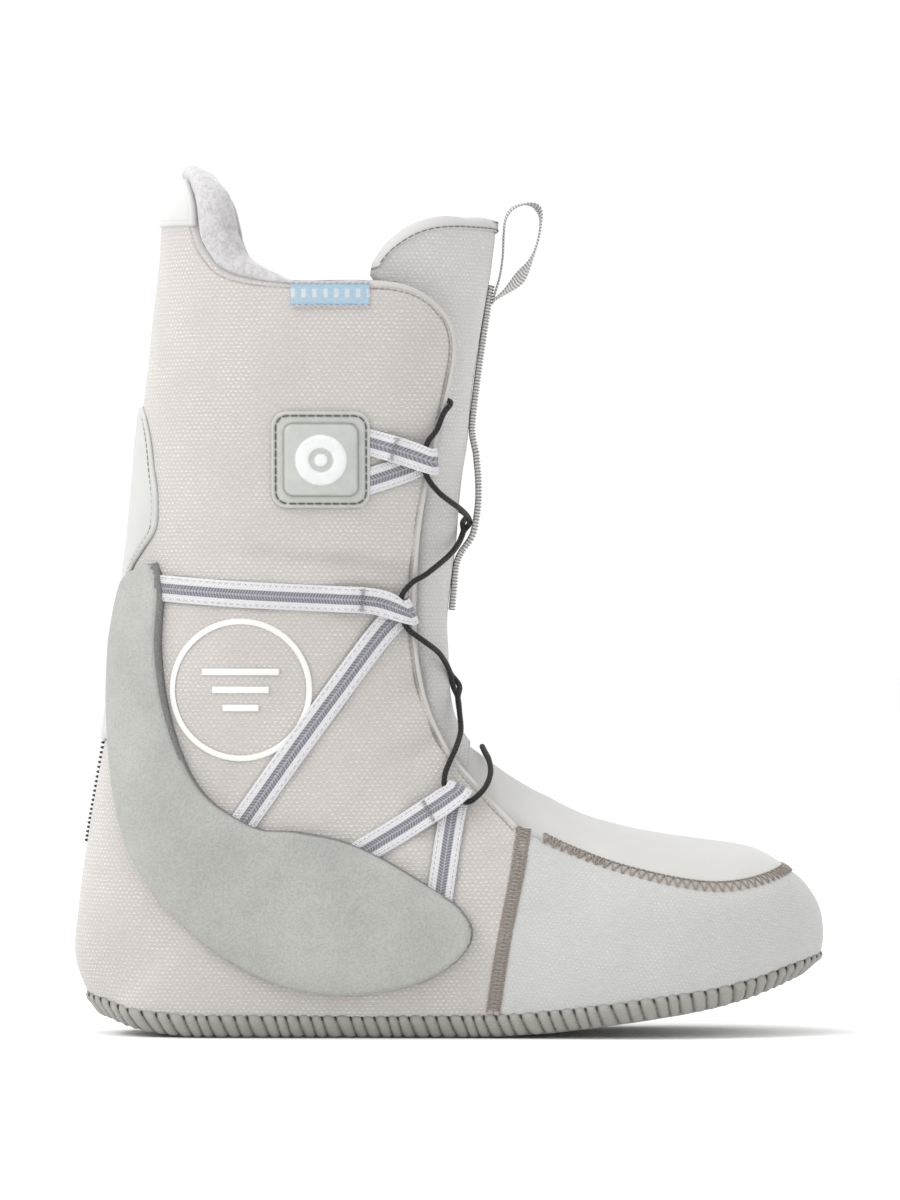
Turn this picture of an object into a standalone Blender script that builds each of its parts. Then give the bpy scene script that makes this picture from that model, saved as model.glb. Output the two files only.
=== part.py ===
"""Removable inner boot of a snowboard boot, right foot, in metres with +Z up and the toe at +X.

The lateral side is at -Y. Every layer of the boot is a sheet of one shell, which is a stack of
cross-sections from a line down the front to a line down the back and along the sole. A place on the
shell is a section number, an angle from 0 at the front line to pi at the back line, and a side.
"""

import math

import bmesh
import bpy
from mathutils import Vector

MM = 0.001
LATERAL = -1
MEDIAL = 1
SIDES = {"lateral": LATERAL, "medial": MEDIAL}

FOAM = 7.5           # thickness of the quarters and the toe panel
LAYER_GAP = 0.8      # clearance under a piece that lies on the foam
LINING_LIFT = -9.3   # outer face of the inner lining, below the shell
LINING_THICK = 1.1
TONGUE_LIFT = -9.4   # outer face of the tongue, below the shell
TONGUE_THICK = 9.0
TONGUE_HALF = 32.0   # most that the tongue reaches to each side below its wings
TONGUE_ROOM = 1.8    # clearance between the tongue and the lining beside it
VAMP_THICK = 2.6
SKIN_THICK = 1.0     # thin overlays, tabs and labels
WEBBING_WIDTH = 10.2
WEBBING_THICK = 1.1
LACE_DIAMETER = 2.2
WELT_HEIGHT = 8.0
SOLE_THICK = 3.0
ROUNDNESS = 2.3      # exponent of the cross-sections, 2 for an ellipse

# Cross-sections in mm: front x, front z, back x, back z, half width, half width of the flat sole,
# sideways shift of the middle.
STATIONS = [
    (147.6, 39.5, 147.6, 39.5, 0, 0, 8),
    (146.2, 49, 146.0, 31, 13, 0, 8),
    (142, 57, 139.5, 24.0, 24, 2, 8),
    (136, 63, 133, 21, 32, 17, 8),
    (127, 69, 125, 18, 40, 27, 7.5),
    (115, 73, 115, 14.5, 46, 34, 7),
    (99, 75.3, 100, 10.7, 51, 40, 6),
    (83, 77.5, 84, 8, 54, 43, 5),
    (66, 81, 66, 5.3, 54, 43, 4),
    (50, 86.5, 48, 3.0, 52, 41, 3),
    (38, 97, 30, 1.1, 49, 38, 2),
    (27, 109, 6, 0, 47, 34, 1),
    (17, 119, -30, 0, 45, 32, 0),
    (11.5, 127, -68, 0, 44, 32, 0),
    (9.5, 134, -100, 0, 44, 30, 0),
    (9, 140, -120, 2.4, 44.5, 23, 0),
    (9, 145, -131, 6, 45, 14, 0),
    (9, 150, -138.5, 10, 45, 0, 0),
    (9, 157, -147, 29, 45, 0, 0),
    (9.5, 165, -146, 51, 45, 0, 0),
    (10.5, 175, -142, 79, 45, 0, 0),
    (12, 192, -136.5, 111, 46, 0, 0),
    (14, 212, -131, 147, 48, 0, 0),
    (17, 234, -126, 190, 50, 0, 0),
    (19.5, 256, -122, 233, 52, 0, 0),
    (22.5, 277, -118, 267, 54, 0, 0),
    (26, 300, -114.5, 299, 55.5, 0, 0),
    (28.5, 322, -112, 323, 56.5, 0, 0),
    (30, 345, -102.5, 340.5, 57, 0, 0),
]
SOLE_START = 2.0     # section numbers where the flat sole starts and ends
SOLE_END = 17.0

# Free edge of a quarter from the side seam up the eyestay, along the collar and up the rear ear:
# x, z and the section number that the row of the panel reaches at the sole or the back seam.
QUARTER_EDGE = [
    (27, 83, 10.45), (11.6, 99, 11.8), (-0.2, 113.5, 13.3), (-8.1, 131, 15.3), (-12, 150, 17.6),
    (-13, 170, 19.3), (-10.5, 200, 21.0), (-5.7, 226, 22.2), (0.5, 252, 23.3), (3, 268, 24.0),
    (0.8, 279, 24.5), (-7, 288, 24.9), (-18, 293, 25.2), (-35, 294.3, 25.45), (-60, 294.3, 25.75),
    (-76, 295.6, 26.0), (-88, 299, 26.3), (-95.6, 307, 26.6), (-98.6, 315, 26.9),
    (-99.8, 326, 27.3), (-102.4, 335, 27.7),
]
# Upper edge of the toe panel from the top of the toe to the side seam: x, z, section at the sole.
TOE_EDGE = [
    (133.5, 65.4, 3.2), (126, 62.5, 3.9), (116, 60, 4.9), (104, 59, 5.8), (91, 60.4, 6.6),
    (76, 63.6, 7.5), (61, 67.8, 8.4), (46, 73.6, 9.3), (36, 78.3, 9.95), (28.2, 82.3, 10.4),
]

# The vamp's rows: section number and height against the shell.
VAMP_ROWS = [
    (3.7, 0), (4.05, 0), (4.6, 0), (5.4, 0), (6.3, 0), (7.2, 0), (8.1, 0), (9.0, -0.4),
    (9.6, -2.4), (10.2, -5.4), (10.8, -8.0), (11.4, -9.2), (11.9, -9.6),
]
# Outline of the tongue's wings and top: x, z and the section number of the row's front end.
TONGUE_TOP = [
    (-29, 298.2, 25.93), (-27.6, 302, 26.05), (-21.5, 309.2, 26.2), (-13, 314.8, 26.35),
    (-3, 318, 26.5), (6, 319, 26.62), (15, 318.6, 26.72),
]
BINDING_LINE = [
    (-26, 299.6), (-22, 304), (-17, 307.8), (-10, 311.4), (-2, 313.6), (8, 314.4), (19, 314.3),
    (29, 314.2),
]
# The tape along the tongue's front: section number and height over the tongue.
TAPE_ROUTE = [
    (25.7, 1.0), (25, 1.0), (24, 1.0), (23.2, 1.0), (22.8, 2.2), (22.3, 4.8), (21.9, 6.0),
    (21.5, 5.9), (21.2, 5.0), (20.9, 2.2), (20.5, 1.0), (19.8, 1.0), (19.1, 1.0),
]
PULL_AXIS = (19.5, 0, 290.5)
PULL_LOOP = [
    (20.8, 299.8), (21.2, 308), (21.4, 315), (22.2, 321), (25, 325), (30, 326.6), (34.4, 325.4),
    (36, 321), (35, 313), (32.3, 305), (28, 298), (24, 294.6), (20.8, 292.2),
]
# Heel overlay: section number and half width in mm across the back.
OVERLAY_ROWS = [
    (21.12, 17), (21.3, 16), (21.75, 11), (22.17, 7.2), (22.5, 10), (22.77, 16), (22.95, 25),
    (23.12, 31), (23.4, 31), (23.65, 28.5), (24.0, 24), (24.25, 17), (24.38, 8),
]
# Edge of the collar tab: x, z and the section number at the back line.
TAB_EDGE = [
    (-100.4, 316, 26.72), (-101, 321, 26.95), (-101.6, 326, 27.2), (-102.6, 331, 27.42),
    (-104.6, 334.4, 27.6),
]
RING = (-81, 135.7, 26.6)
J_BAR_THICK = 5.4
J_BAR_OUTER = [
    (-113.7, 185.4), (-123.3, 180), (-127, 168), (-129.4, 154), (-130.4, 138), (-130.4, 122),
    (-129.8, 104), (-127.6, 87), (-123, 71), (-114, 56), (-103, 44), (-89, 32.5), (-73, 23.4),
    (-57, 18.6), (-40, 17), (-23.8, 19), (-9.7, 22.5), (1.3, 29), (7.4, 35.5), (9.1, 41),
]
J_BAR_INNER = [
    (-113.7, 185.4), (-112, 180), (-111, 172), (-111.6, 162), (-111.8, 150), (-110, 133.6),
    (-106, 117.5), (-100.3, 103.6), (-93, 93.4), (-84, 87), (-73, 81.8), (-61, 81), (-48, 79),
    (-36.8, 75.6), (-23.8, 69.2), (-7.7, 59.5), (2.2, 53), (7.3, 47), (8.8, 44), (9.1, 41),
]
PATCH_CENTRE = (-49.9, 225)
FOLD_RADIUS = 2.1    # inside of a lace loop's fold
# Lace loops: upper leg and lower leg from tail to fold and back, direction of the fold, and how
# far from the fold the upper leg comes down beside the lower one.
LACE_LOOPS = {
    "upper": (
        [(-28.8, 231.3), (-20, 228.6), (-10, 224.9)],
        [(-10, 224.9), (-20, 220.6), (-28.8, 217.2)],
        (-0.05, 1.0), (14, 20),
    ),
    "middle": (
        [(-109.2, 174.9), (-83, 172.9), (-50, 171.3), (-34, 170.8), (-26, 169.3), (-18.6, 166)],
        [(-18.6, 166), (-26, 159), (-44.2, 134.3), (-62, 109.8), (-76.6, 89)],
        (-0.33, 0.94), (20, 32),
    ),
    "lower": (
        [(-27.4, 76.4), (-14, 84.5), (2.6, 94.2)],
        [(2.6, 94.2), (0, 81), (-2.6, 62)],
        (0.89, -0.46), (14, 24),
    ),
}
SIDE_SEAM = [(28.6, 79), (26.6, 66), (23.6, 51), (20.4, 34), (17.3, 13)]
TOE_SEAM = [(52, 71.3)] + [(x, z) for x, z, _ in TOE_EDGE[6::-1]]
STITCHES = 12        # places along the band of back seam stitches
PIPING_INSET = 2.4   # middle of the flap piping from the flap's edge
STITCH_START = 19.9
STITCH_END = 21.1
# Extent over the collar's edge and depth of the fleece roll, from the side of the collar to the
# top of the ear.
ROLL_SIZE = [(1.0, 8), (1.5, 10), (4.5, 13), (8.5, 14), (10.5, 14), (11.5, 14), (10, 13), (6, 12)]
WELT_PROFILE = [(0.2, 0.5), (4.6, 1.0), (7.0, 4.0), (7.6, 7.6), (3.4, 7.6), (0.2, 3.4)]
LACE_POINTS = 79
# The lace on the lateral side, from the top down: x, y, z. The medial side mirrors it.
LACE_TOP = [
    (-2.3, -42.4, 243), (-5, -43.9, 236.5), (-8.6, -46.0, 231.5), (-9.8, -46.5, 224.8),
    (-8.8, -44.2, 218.6), (-4.7, -39.6, 213), (-0.6, -34.2, 209.6), (3.4, -26, 206.8),
    (6.6, -14, 204),
]
LACE_MIDDLE = [
    (5.4, -7.5, 197.4), (3.6, -14.5, 193), (-0.2, -24, 188), (-6.5, -35, 182.6),
    (-10, -38.4, 180), (-14.4, -41.2, 177.4), (-18.4, -43.3, 172.4), (-18.6, -43.1, 166),
    (-16.6, -40.9, 160), (-13, -37.6, 156.8), (-9.4, -34.6, 154.2), (-4.6, -26, 150.4),
    (-1.8, -18, 146.5), (0.4, -9, 141.6),
]
LACE_LOWER = [
    (3.3, -8, 132), (4, -15.5, 126), (4.4, -24, 119.4), (2.6, -32.6, 113.2), (0.2, -36.8, 108),
    (-1.8, -40.4, 102.6), (-1.6, -43, 97.2), (2.6, -44.3, 94.2), (7.2, -44, 92.2),
    (11.2, -41.7, 94.8), (14.4, -38.0, 98.6), (16, -31, 103.2), (15.6, -22, 107.4), (14, -12, 110.6),
]
# Crossings on the middle: under the tape, over the tongue, and over the vamp.
LACE_CROSS_TAPE = ((7.9, 0, 201), (5.2, 0, 201))
LACE_CROSS_TONGUE = ((3.9, 0, 136.8), (1.4, 0, 136.8))
LACE_CROSS_VAMP = (12.9, 0, 112.9)


def smooth_at(rows, place):
    """Value at a fractional row of a table, on a curve through all its rows."""
    place = min(max(place, 0.0), len(rows) - 1.0)
    row = min(int(place), len(rows) - 2)
    part = place - row
    before = rows[max(row - 1, 0)]
    after = rows[min(row + 2, len(rows) - 1)]
    values = []
    for a, b, c, d in zip(before, rows[row], rows[row + 1], after):
        slope = (c - a) / 2
        slope_after = (d - b) / 2
        values.append(
            b + part * slope
            + part**2 * (3 * (c - b) - 2 * slope - slope_after)
            + part**3 * (2 * (b - c) + slope + slope_after)
        )
    return values


def evenly(rows, count, used=2):
    """Points spaced evenly along the smooth curve through rows, measured over its first columns."""
    steps = 24 * (len(rows) - 1)
    fine = [smooth_at(rows, i * (len(rows) - 1) / steps) for i in range(steps + 1)]
    run = [0.0]
    for a, b in zip(fine, fine[1:]):
        run.append(run[-1] + math.dist(a[:used], b[:used]))
    spaced = []
    spot = 0
    for i in range(count):
        want = run[-1] * i / (count - 1)
        while spot < steps - 1 and run[spot + 1] < want:
            spot += 1
        share = (want - run[spot]) / max(run[spot + 1] - run[spot], 1e-9)
        spaced.append([a + (b - a) * share for a, b in zip(fine[spot], fine[spot + 1])])
    return spaced


def base(section, angle, side):
    """Point of the shell itself, in mm."""
    front_x, front_z, back_x, back_z, half, sole, middle = smooth_at(STATIONS, section)
    along = -math.cos(angle)
    bulge = max(0.0, 1 - abs(along) ** ROUNDNESS) ** (1 / ROUNDNESS)
    width = half * bulge if along < 0 else sole + (half - sole) * bulge
    reach = (1 + along) / 2
    return Vector(
        (front_x + (back_x - front_x) * reach, middle + side * width,
         front_z + (back_z - front_z) * reach)
    )


def normal(section, angle, side):
    """Outward direction of the shell."""
    step = 0.06
    low = min(max(angle - step, 0.0), math.pi - 2 * step)
    across = base(section, low + 2 * step, side) - base(section, low, side)
    if angle < step or angle > math.pi - step:
        across = Vector((0, side if angle < 1 else -side, 0))
    lower = min(max(section - 0.1, 0.3), len(STATIONS) - 1.2)
    upward = base(lower + 0.2, angle, side) - base(lower, angle, side)
    return (across.cross(upward) * side).normalized()


def shell(section, angle, side, lift=0.0):
    """Point of the shell raised along its outward direction, in metres."""
    point = base(section, angle, side)
    if lift:
        point += normal(section, angle, side) * lift
    return point * MM


def locate(x, z):
    """Section number and angle of the place that the side view shows at x and z, in mm."""

    def miss(section):
        front_x, front_z, back_x, back_z = smooth_at(STATIONS, section)[:4]
        return (back_x - front_x) * (z - front_z) - (back_z - front_z) * (x - front_x)

    def reach(section):
        front_x, front_z, back_x, back_z = smooth_at(STATIONS, section)[:4]
        length = (back_x - front_x) ** 2 + (back_z - front_z) ** 2
        return ((x - front_x) * (back_x - front_x) + (z - front_z) * (back_z - front_z)) / length

    best = (9.0, 0.0, 0.0)
    step = 0.125
    for i in range(4, int((len(STATIONS) - 1) / step)):
        low, high = i * step, (i + 1) * step
        if miss(low) * miss(high) > 0:
            continue
        for _ in range(30):
            half = (low + high) / 2
            if miss(low) * miss(half) > 0:
                low = half
            else:
                high = half
        share = reach(low)
        outside = max(-share, share - 1, 0.0)
        if outside < best[0]:
            best = (outside, low, share)
    share = min(max(best[2], 0.0), 1.0)
    return best[1], math.acos(1 - 2 * share)


def sole_height(x):
    """Height of the underside at x, in mm."""
    low, high = SOLE_START, 18.0
    for _ in range(30):
        half = (low + high) / 2
        if smooth_at(STATIONS, half)[2] > x:
            low = half
        else:
            high = half
    return max(smooth_at(STATIONS, low)[3], 0.0)


def welt_angle(section, height=WELT_HEIGHT + 0.5):
    """Angle where the section meets the top of the welt, or pi where the welt is below it."""
    if section > 12 and base(section, math.pi, 1).z > sole_height(-138) + height:
        return math.pi
    if section < 3 and base(section, math.pi, 1).z > 22.5 + height:
        return math.pi
    low, high = 0.5 * math.pi, math.pi
    for _ in range(30):
        half = (low + high) / 2
        point = base(section, half, 1)
        if point.z > sole_height(min(max(point.x, -138), 138)) + height:
            low = half
        else:
            high = half
    return low


def edge_angle(section):
    """Angle of the quarter's free edge at a section, for sections up to the collar."""
    low, high = 0.0, 9.0
    for _ in range(30):
        half = (low + high) / 2
        x, z, _ = smooth_at(QUARTER_EDGE, half)
        if locate(x, z)[0] < section:
            low = half
        else:
            high = half
    x, z, _ = smooth_at(QUARTER_EDGE, low)
    return locate(x, z)[1]


def material(name, colour, roughness, metallic=0.0):
    """Principled material with one colour."""
    made = bpy.data.materials.new(name)
    made.use_nodes = True
    shader = made.node_tree.nodes["Principled BSDF"]
    shader.inputs["Base Color"].default_value = (*colour, 1.0)
    shader.inputs["Roughness"].default_value = roughness
    shader.inputs["Metallic"].default_value = metallic
    return made


def sheet(grids):
    """Open surface of one or more grids of points, welded together and facing out."""
    mesh = bmesh.new()
    for grid in grids:
        rows = [[mesh.verts.new(point) for point in row] for row in grid]
        for row, after in zip(rows, rows[1:]):
            for i in range(len(row) - 1):
                mesh.faces.new((row[i], row[i + 1], after[i + 1], after[i]))
    bmesh.ops.remove_doubles(mesh, verts=mesh.verts, dist=0.02 * MM)
    bmesh.ops.recalc_face_normals(mesh, faces=mesh.faces)
    outward = 0.0
    for face in mesh.faces:
        centre = face.calc_center_median()
        if centre.z < 110 * MM:
            core = Vector((min(max(centre.x, -95 * MM), 100 * MM), 0, 50 * MM))
        else:
            core = Vector((-50 * MM, 0, centre.z))
        outward += face.normal.dot(centre - core) * face.calc_area()
    if outward < 0:
        bmesh.ops.reverse_faces(mesh, faces=mesh.faces)
    mesh.normal_update()
    return mesh


def thicken(mesh, low, high):
    """Close an open sheet into a solid between two heights in mm above it."""
    verts = list(mesh.verts)
    faces = list(mesh.faces)
    rim = [edge for edge in mesh.edges if edge.is_boundary]
    inner = {}
    for vert in verts:
        inner[vert] = mesh.verts.new(vert.co + vert.normal * low * MM)
    for vert in verts:
        vert.co += vert.normal * high * MM
    for face in faces:
        mesh.faces.new([inner[vert] for vert in reversed(face.verts)])
    for edge in rim:
        loop = next(loop for loop in edge.link_loops if loop.face in faces)
        start, end = loop.vert, loop.link_loop_next.vert
        mesh.faces.new((end, start, inner[start], inner[end]))
    return mesh


def finish(name, mesh, look):
    """Turn a bmesh into a named object of the boot."""
    data = bpy.data.meshes.new(name)
    mesh.to_mesh(data)
    mesh.free()
    data.materials.append(look)
    data.shade_smooth()
    data.set_sharp_from_angle(angle=math.radians(40))
    made = bpy.data.objects.new(name, data)
    bpy.context.scene.collection.objects.link(made)
    return made


def panel(start, end, side, columns, lift=0.0):
    """Grid between two lines of places (section, angle) on one side of the shell."""
    grid = []
    for (section_a, angle_a), (section_b, angle_b) in zip(start, end):
        row = []
        for i in range(columns + 1):
            share = i / columns
            section = section_a + (section_b - section_a) * share
            row.append(shell(section, angle_a + (angle_b - angle_a) * share, side, lift))
        grid.append(row)
    return grid


def quarter_rows(count):
    """Places along the quarter's free edge and along its sole and back edge."""
    edge = evenly(QUARTER_EDGE, count)
    start = [locate(x, z) for x, z, _ in edge]
    end = [(section, welt_angle(section)) for _, _, section in edge]
    return start, end


def make_quarters(foam):
    """Foam panels from the side seams to the back seam, one for each side."""
    start, end = quarter_rows(25)
    for name, side in SIDES.items():
        mesh = thicken(sheet([panel(start, end, side, 11)]), -FOAM, 0)
        for vert in mesh.verts:
            vert.co.y = side * max(side * vert.co.y, 0.2 * MM)
        finish("quarter_" + name, mesh, foam)


def make_toe_panel(foam):
    """Foam panel round the toe from side seam to side seam."""
    nose = [0.0, 0.5, 1.0, 1.7, 2.5]
    start = [(section, 0.0) for section in nose]
    end = [(section, welt_angle(section)) for section in nose]
    for x, z, section in evenly(TOE_EDGE, 11):
        start.append(locate(x, z))
        end.append((section, welt_angle(section)))
    start[len(nose)] = (start[len(nose)][0], 0.0)
    grids = [panel(start, end, side, 8) for side in SIDES.values()]
    finish("toe_panel", thicken(sheet(grids), -FOAM, 0), foam)


def strip(name, path, width, low, high, look, closed=False):
    """Flat band along a path of (point, normal) in metres; width and heights in mm."""
    mesh = bmesh.new()
    count = len(path)
    rings = []
    for i, (point, up) in enumerate(path):
        ahead = path[(i + 1) % count][0] if closed else path[min(i + 1, count - 1)][0]
        behind = path[i - 1][0] if closed or i else point
        across = (ahead - behind).cross(up).normalized() * width / 2 * MM
        rings.append(
            [mesh.verts.new(point + across * a + up * h * MM)
             for a, h in ((-1, low), (1, low), (1, high), (-1, high))]
        )
    pairs = list(zip(rings, rings[1:]))
    if closed:
        pairs.append((rings[-1], rings[0]))
    faces = []
    for near, far in pairs:
        for i in range(4):
            faces.append(mesh.faces.new((near[i], near[i - 1], far[i - 1], far[i])))
    if not closed:
        faces.append(mesh.faces.new(rings[0]))
        faces.append(mesh.faces.new(reversed(rings[-1])))
    bmesh.ops.recalc_face_normals(mesh, faces=faces)
    return finish(name, mesh, look)


def on_shell(x, z, side, lift=0.0):
    """Point and outward direction of the shell where the side view shows x and z."""
    section, angle = locate(x, z)
    return shell(section, angle, side, lift), normal(section, angle, side)


def line_on_shell(points, side, count):
    """Path of (point, normal) along a smooth line drawn in the side view."""
    return [on_shell(x, z, side) for x, z in evenly([p[:2] for p in points], count)]


def make_vamp(look):
    """Smooth panel from the toe seam up the instep, sinking under the flaps to the tongue."""
    start, end, lifts = [], [], []
    for section, sink in VAMP_ROWS:
        start.append((section, 0.0))
        lifts.append(sink)
        if section < 10.38:
            gap = 0.06 + 0.06 * max(0.0, 5.0 - section)
            end.append((section, toe_edge_angle(section) - gap))
        else:
            end.append((section, edge_angle(section) - 0.07))
    grids = []
    for side in SIDES.values():
        rows = panel(start, end, side, 6)
        for row, (section, _), (_, angle), sink in zip(rows, start, end, lifts):
            for i in range(len(row)):
                row[i] = shell(section, angle * i / 6, side, sink)
        grids.append(rows)
    finish("vamp_panel", thicken(sheet(grids), -VAMP_THICK, 0), look)


def toe_edge_angle(section):
    """Angle of the toe panel's upper edge at a section."""
    low, high = 0.0, len(TOE_EDGE) - 1.0
    for _ in range(30):
        half = (low + high) / 2
        x, z, _ = smooth_at(TOE_EDGE, half)
        if locate(x, z)[0] < section:
            low = half
        else:
            high = half
    x, z, _ = smooth_at(TOE_EDGE, low)
    return locate(x, z)[1]


def tongue_angle(section):
    """Angle where the tongue's side edge lies below its wings."""
    flap = shell(section, min(edge_angle(section), 2.0), 1, LINING_LIFT - LINING_THICK).y / MM
    reach = min(TONGUE_HALF, flap - TONGUE_ROOM)
    low, high = 0.02, 1.5
    for _ in range(30):
        half = (low + high) / 2
        if shell(section, half, 1, TONGUE_LIFT).y < reach * MM:
            low = half
        else:
            high = half
    return low


def make_tongue(foam, trim):
    """Padded tongue with wings above the collar, and the binding along its top edge."""
    start, end = [], []
    first, last, rows = 12.2, 25.85, 15
    for i in range(rows + 1):
        section = first + (last - first) * i / rows
        start.append((section, 0.0))
        end.append((section, tongue_angle(min(section, 24.0))))
    for x, z, section in evenly(TONGUE_TOP, 7):
        start.append((section, 0.0))
        end.append(locate(x, z))
    grids = [panel(start, end, side, 5, TONGUE_LIFT) for side in SIDES.values()]
    finish("tongue", thicken(sheet(grids), -TONGUE_THICK, 0), foam)
    edge = []
    for side in (LATERAL, MEDIAL):
        line = []
        for x, z in evenly(BINDING_LINE, 12):
            section, angle = locate(x, z)
            if side == MEDIAL and angle < 0.02:
                continue
            line.append((shell(section, angle, side, TONGUE_LIFT), normal(section, angle, side)))
        edge = line + edge[::-1] if side == LATERAL else edge + line[::-1]
    strip("tongue_binding", edge, 4.6, 1.2, 1.8, trim)


def tongue_front(section, lift):
    """Point on the tongue's front line, raised in mm."""
    return shell(section, 0.0, 1, TONGUE_LIFT + lift)


def make_tape(look):
    """Ribbed tape down the tongue's front, standing off where the lace passes behind it."""
    path = []
    for section, lift in evenly(TAPE_ROUTE, 30, used=1):
        path.append((tongue_front(section, lift), Vector((1, 0, 0.12)).normalized()))
    strip("tongue_tape", path, 10.5, 0.0, 1.4, look)


def make_pull_loop(look):
    """Closed webbing loop that hangs on its sewn root at the top of the tape."""
    holder = bpy.data.objects.new("pull_loop_axis", None)
    bpy.context.scene.collection.objects.link(holder)
    holder.location = Vector(PULL_AXIS) * MM
    path = []
    points = [(x, 0.0, z) for x, z in PULL_LOOP]
    for x, y, z in evenly(points, 26, used=3):
        path.append(Vector((x, y, z)) * MM)
    rings = []
    for i, point in enumerate(path):
        along = (path[min(i + 1, 25)] - path[max(i - 1, 0)]).normalized()
        rings.append((point - holder.location, along.cross(Vector((0, -1, 0))).normalized()))
    made = strip("pull_loop", rings, 9.5, -0.6, 0.6, look)
    made.parent = holder


def rear_angle(section, reach):
    """Angle on the rear half of a section where the shell is reach mm to the side."""
    low, high = 0.5 * math.pi, math.pi
    for _ in range(30):
        half = (low + high) / 2
        if base(section, half, 1).y > reach:
            low = half
        else:
            high = half
    return low


def make_overlays(smooth, white, print_look):
    """Heel overlay, collar tab and the raised ring."""
    start, end = [], []
    for section, reach in evenly(OVERLAY_ROWS, 17, used=1):
        start.append((section, rear_angle(section, reach)))
        end.append((section, math.pi))
    grids = [panel(start, end, side, 4) for side in SIDES.values()]
    finish("heel_overlay", thicken(sheet(grids), LAYER_GAP, LAYER_GAP + SKIN_THICK), smooth)
    start, end = [], []
    for x, z, section in evenly(TAB_EDGE, 7):
        start.append(locate(x, z))
        end.append((section, math.pi))
    grids = [panel(start, end, side, 5) for side in SIDES.values()]
    finish("collar_tab", thicken(sheet(grids), LAYER_GAP, LAYER_GAP + SKIN_THICK), white)
    x, z, radius = RING
    circle = []
    for i in range(40):
        turn = 2 * math.pi * i / 40
        circle.append(on_shell(x + radius * math.cos(turn), z + radius * math.sin(turn), LATERAL))
    strip("printed_ring", circle, 2.3, 0.4, 0.8, print_look, closed=True)


def make_j_bars(foam):
    """J-shaped foam bars that cup the ankle on each side."""
    outer = evenly(J_BAR_OUTER, 25)
    inner = evenly(J_BAR_INNER, 25)
    for name, side in SIDES.items():
        start = [locate(x, z) for x, z in outer]
        end = [locate(x, z) for x, z in inner]
        grid = []
        for a, b in zip(outer, inner):
            row = []
            for i in range(5):
                x = a[0] + (b[0] - a[0]) * i / 4
                z = a[1] + (b[1] - a[1]) * i / 4
                row.append(on_shell(x, z, side)[0])
            grid.append(row)
        mesh = thicken(sheet([grid]), LAYER_GAP, LAYER_GAP + J_BAR_THICK)
        finish("j_bar_" + name, mesh, foam)


def patch_grid(half_wide, half_tall, corner, columns):
    """Rounded rectangle of the patch as a grid on the lateral side."""
    middle_x, middle_z = PATCH_CENTRE
    levels = []
    for i in range(5):
        levels.append(-half_tall + corner * (1 - math.cos(math.pi / 2 * i / 4)))
    levels += [half_tall * s for s in (-0.4, 0.0, 0.4)]
    levels += [-level for level in levels[4::-1]]
    grid = []
    for z in levels:
        into = max(0.0, abs(z) - (half_tall - corner))
        wide = half_wide - corner + math.sqrt(max(0.0, corner**2 - into**2))
        row = []
        for i in range(columns + 1):
            x = middle_x + wide * (2 * i / columns - 1)
            row.append(on_shell(x, middle_z + z, LATERAL)[0])
        grid.append(row)
    return grid


def make_patch(leather, padded):
    """Square patch with a raised cushion on it."""
    base_mesh = thicken(sheet([patch_grid(19.2, 18.9, 6.0, 6)]), LAYER_GAP, LAYER_GAP + 1.1)
    finish("patch_base", base_mesh, leather)
    cushion = thicken(sheet([patch_grid(14.6, 14.4, 4.0, 6)]), LAYER_GAP + 1.5, LAYER_GAP + 4.0)
    finish("patch_cushion", cushion, padded)


def make_label(look):
    """Woven label below the collar's edge."""
    grid = []
    for z in (284.6, 288, 291, 293.4):
        grid.append([on_shell(x, z, LATERAL)[0] for x in (-61.6, -54, -46, -38, -30.6)])
    finish("woven_label", thicken(sheet([grid]), LAYER_GAP, LAYER_GAP + 0.7), look)


def make_lace_loops(webbing):
    """Webbing strips folded round the lace, three on each side."""
    for name, side in SIDES.items():
        for place, (leg_a, leg_b, fold_axis, drop) in LACE_LOOPS.items():
            mesh = bmesh.new()
            rings = loop_rings(leg_a, leg_b, fold_axis, drop, side)
            verts = [[mesh.verts.new(point) for point in ring] for ring in rings]
            for near, far in zip(verts, verts[1:]):
                for i in range(4):
                    mesh.faces.new((near[i], near[i - 1], far[i - 1], far[i]))
            mesh.faces.new(verts[0])
            mesh.faces.new(reversed(verts[-1]))
            bmesh.ops.recalc_face_normals(mesh, faces=mesh.faces)
            finish("lace_loop_" + place + "_" + name, mesh, webbing)


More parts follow.
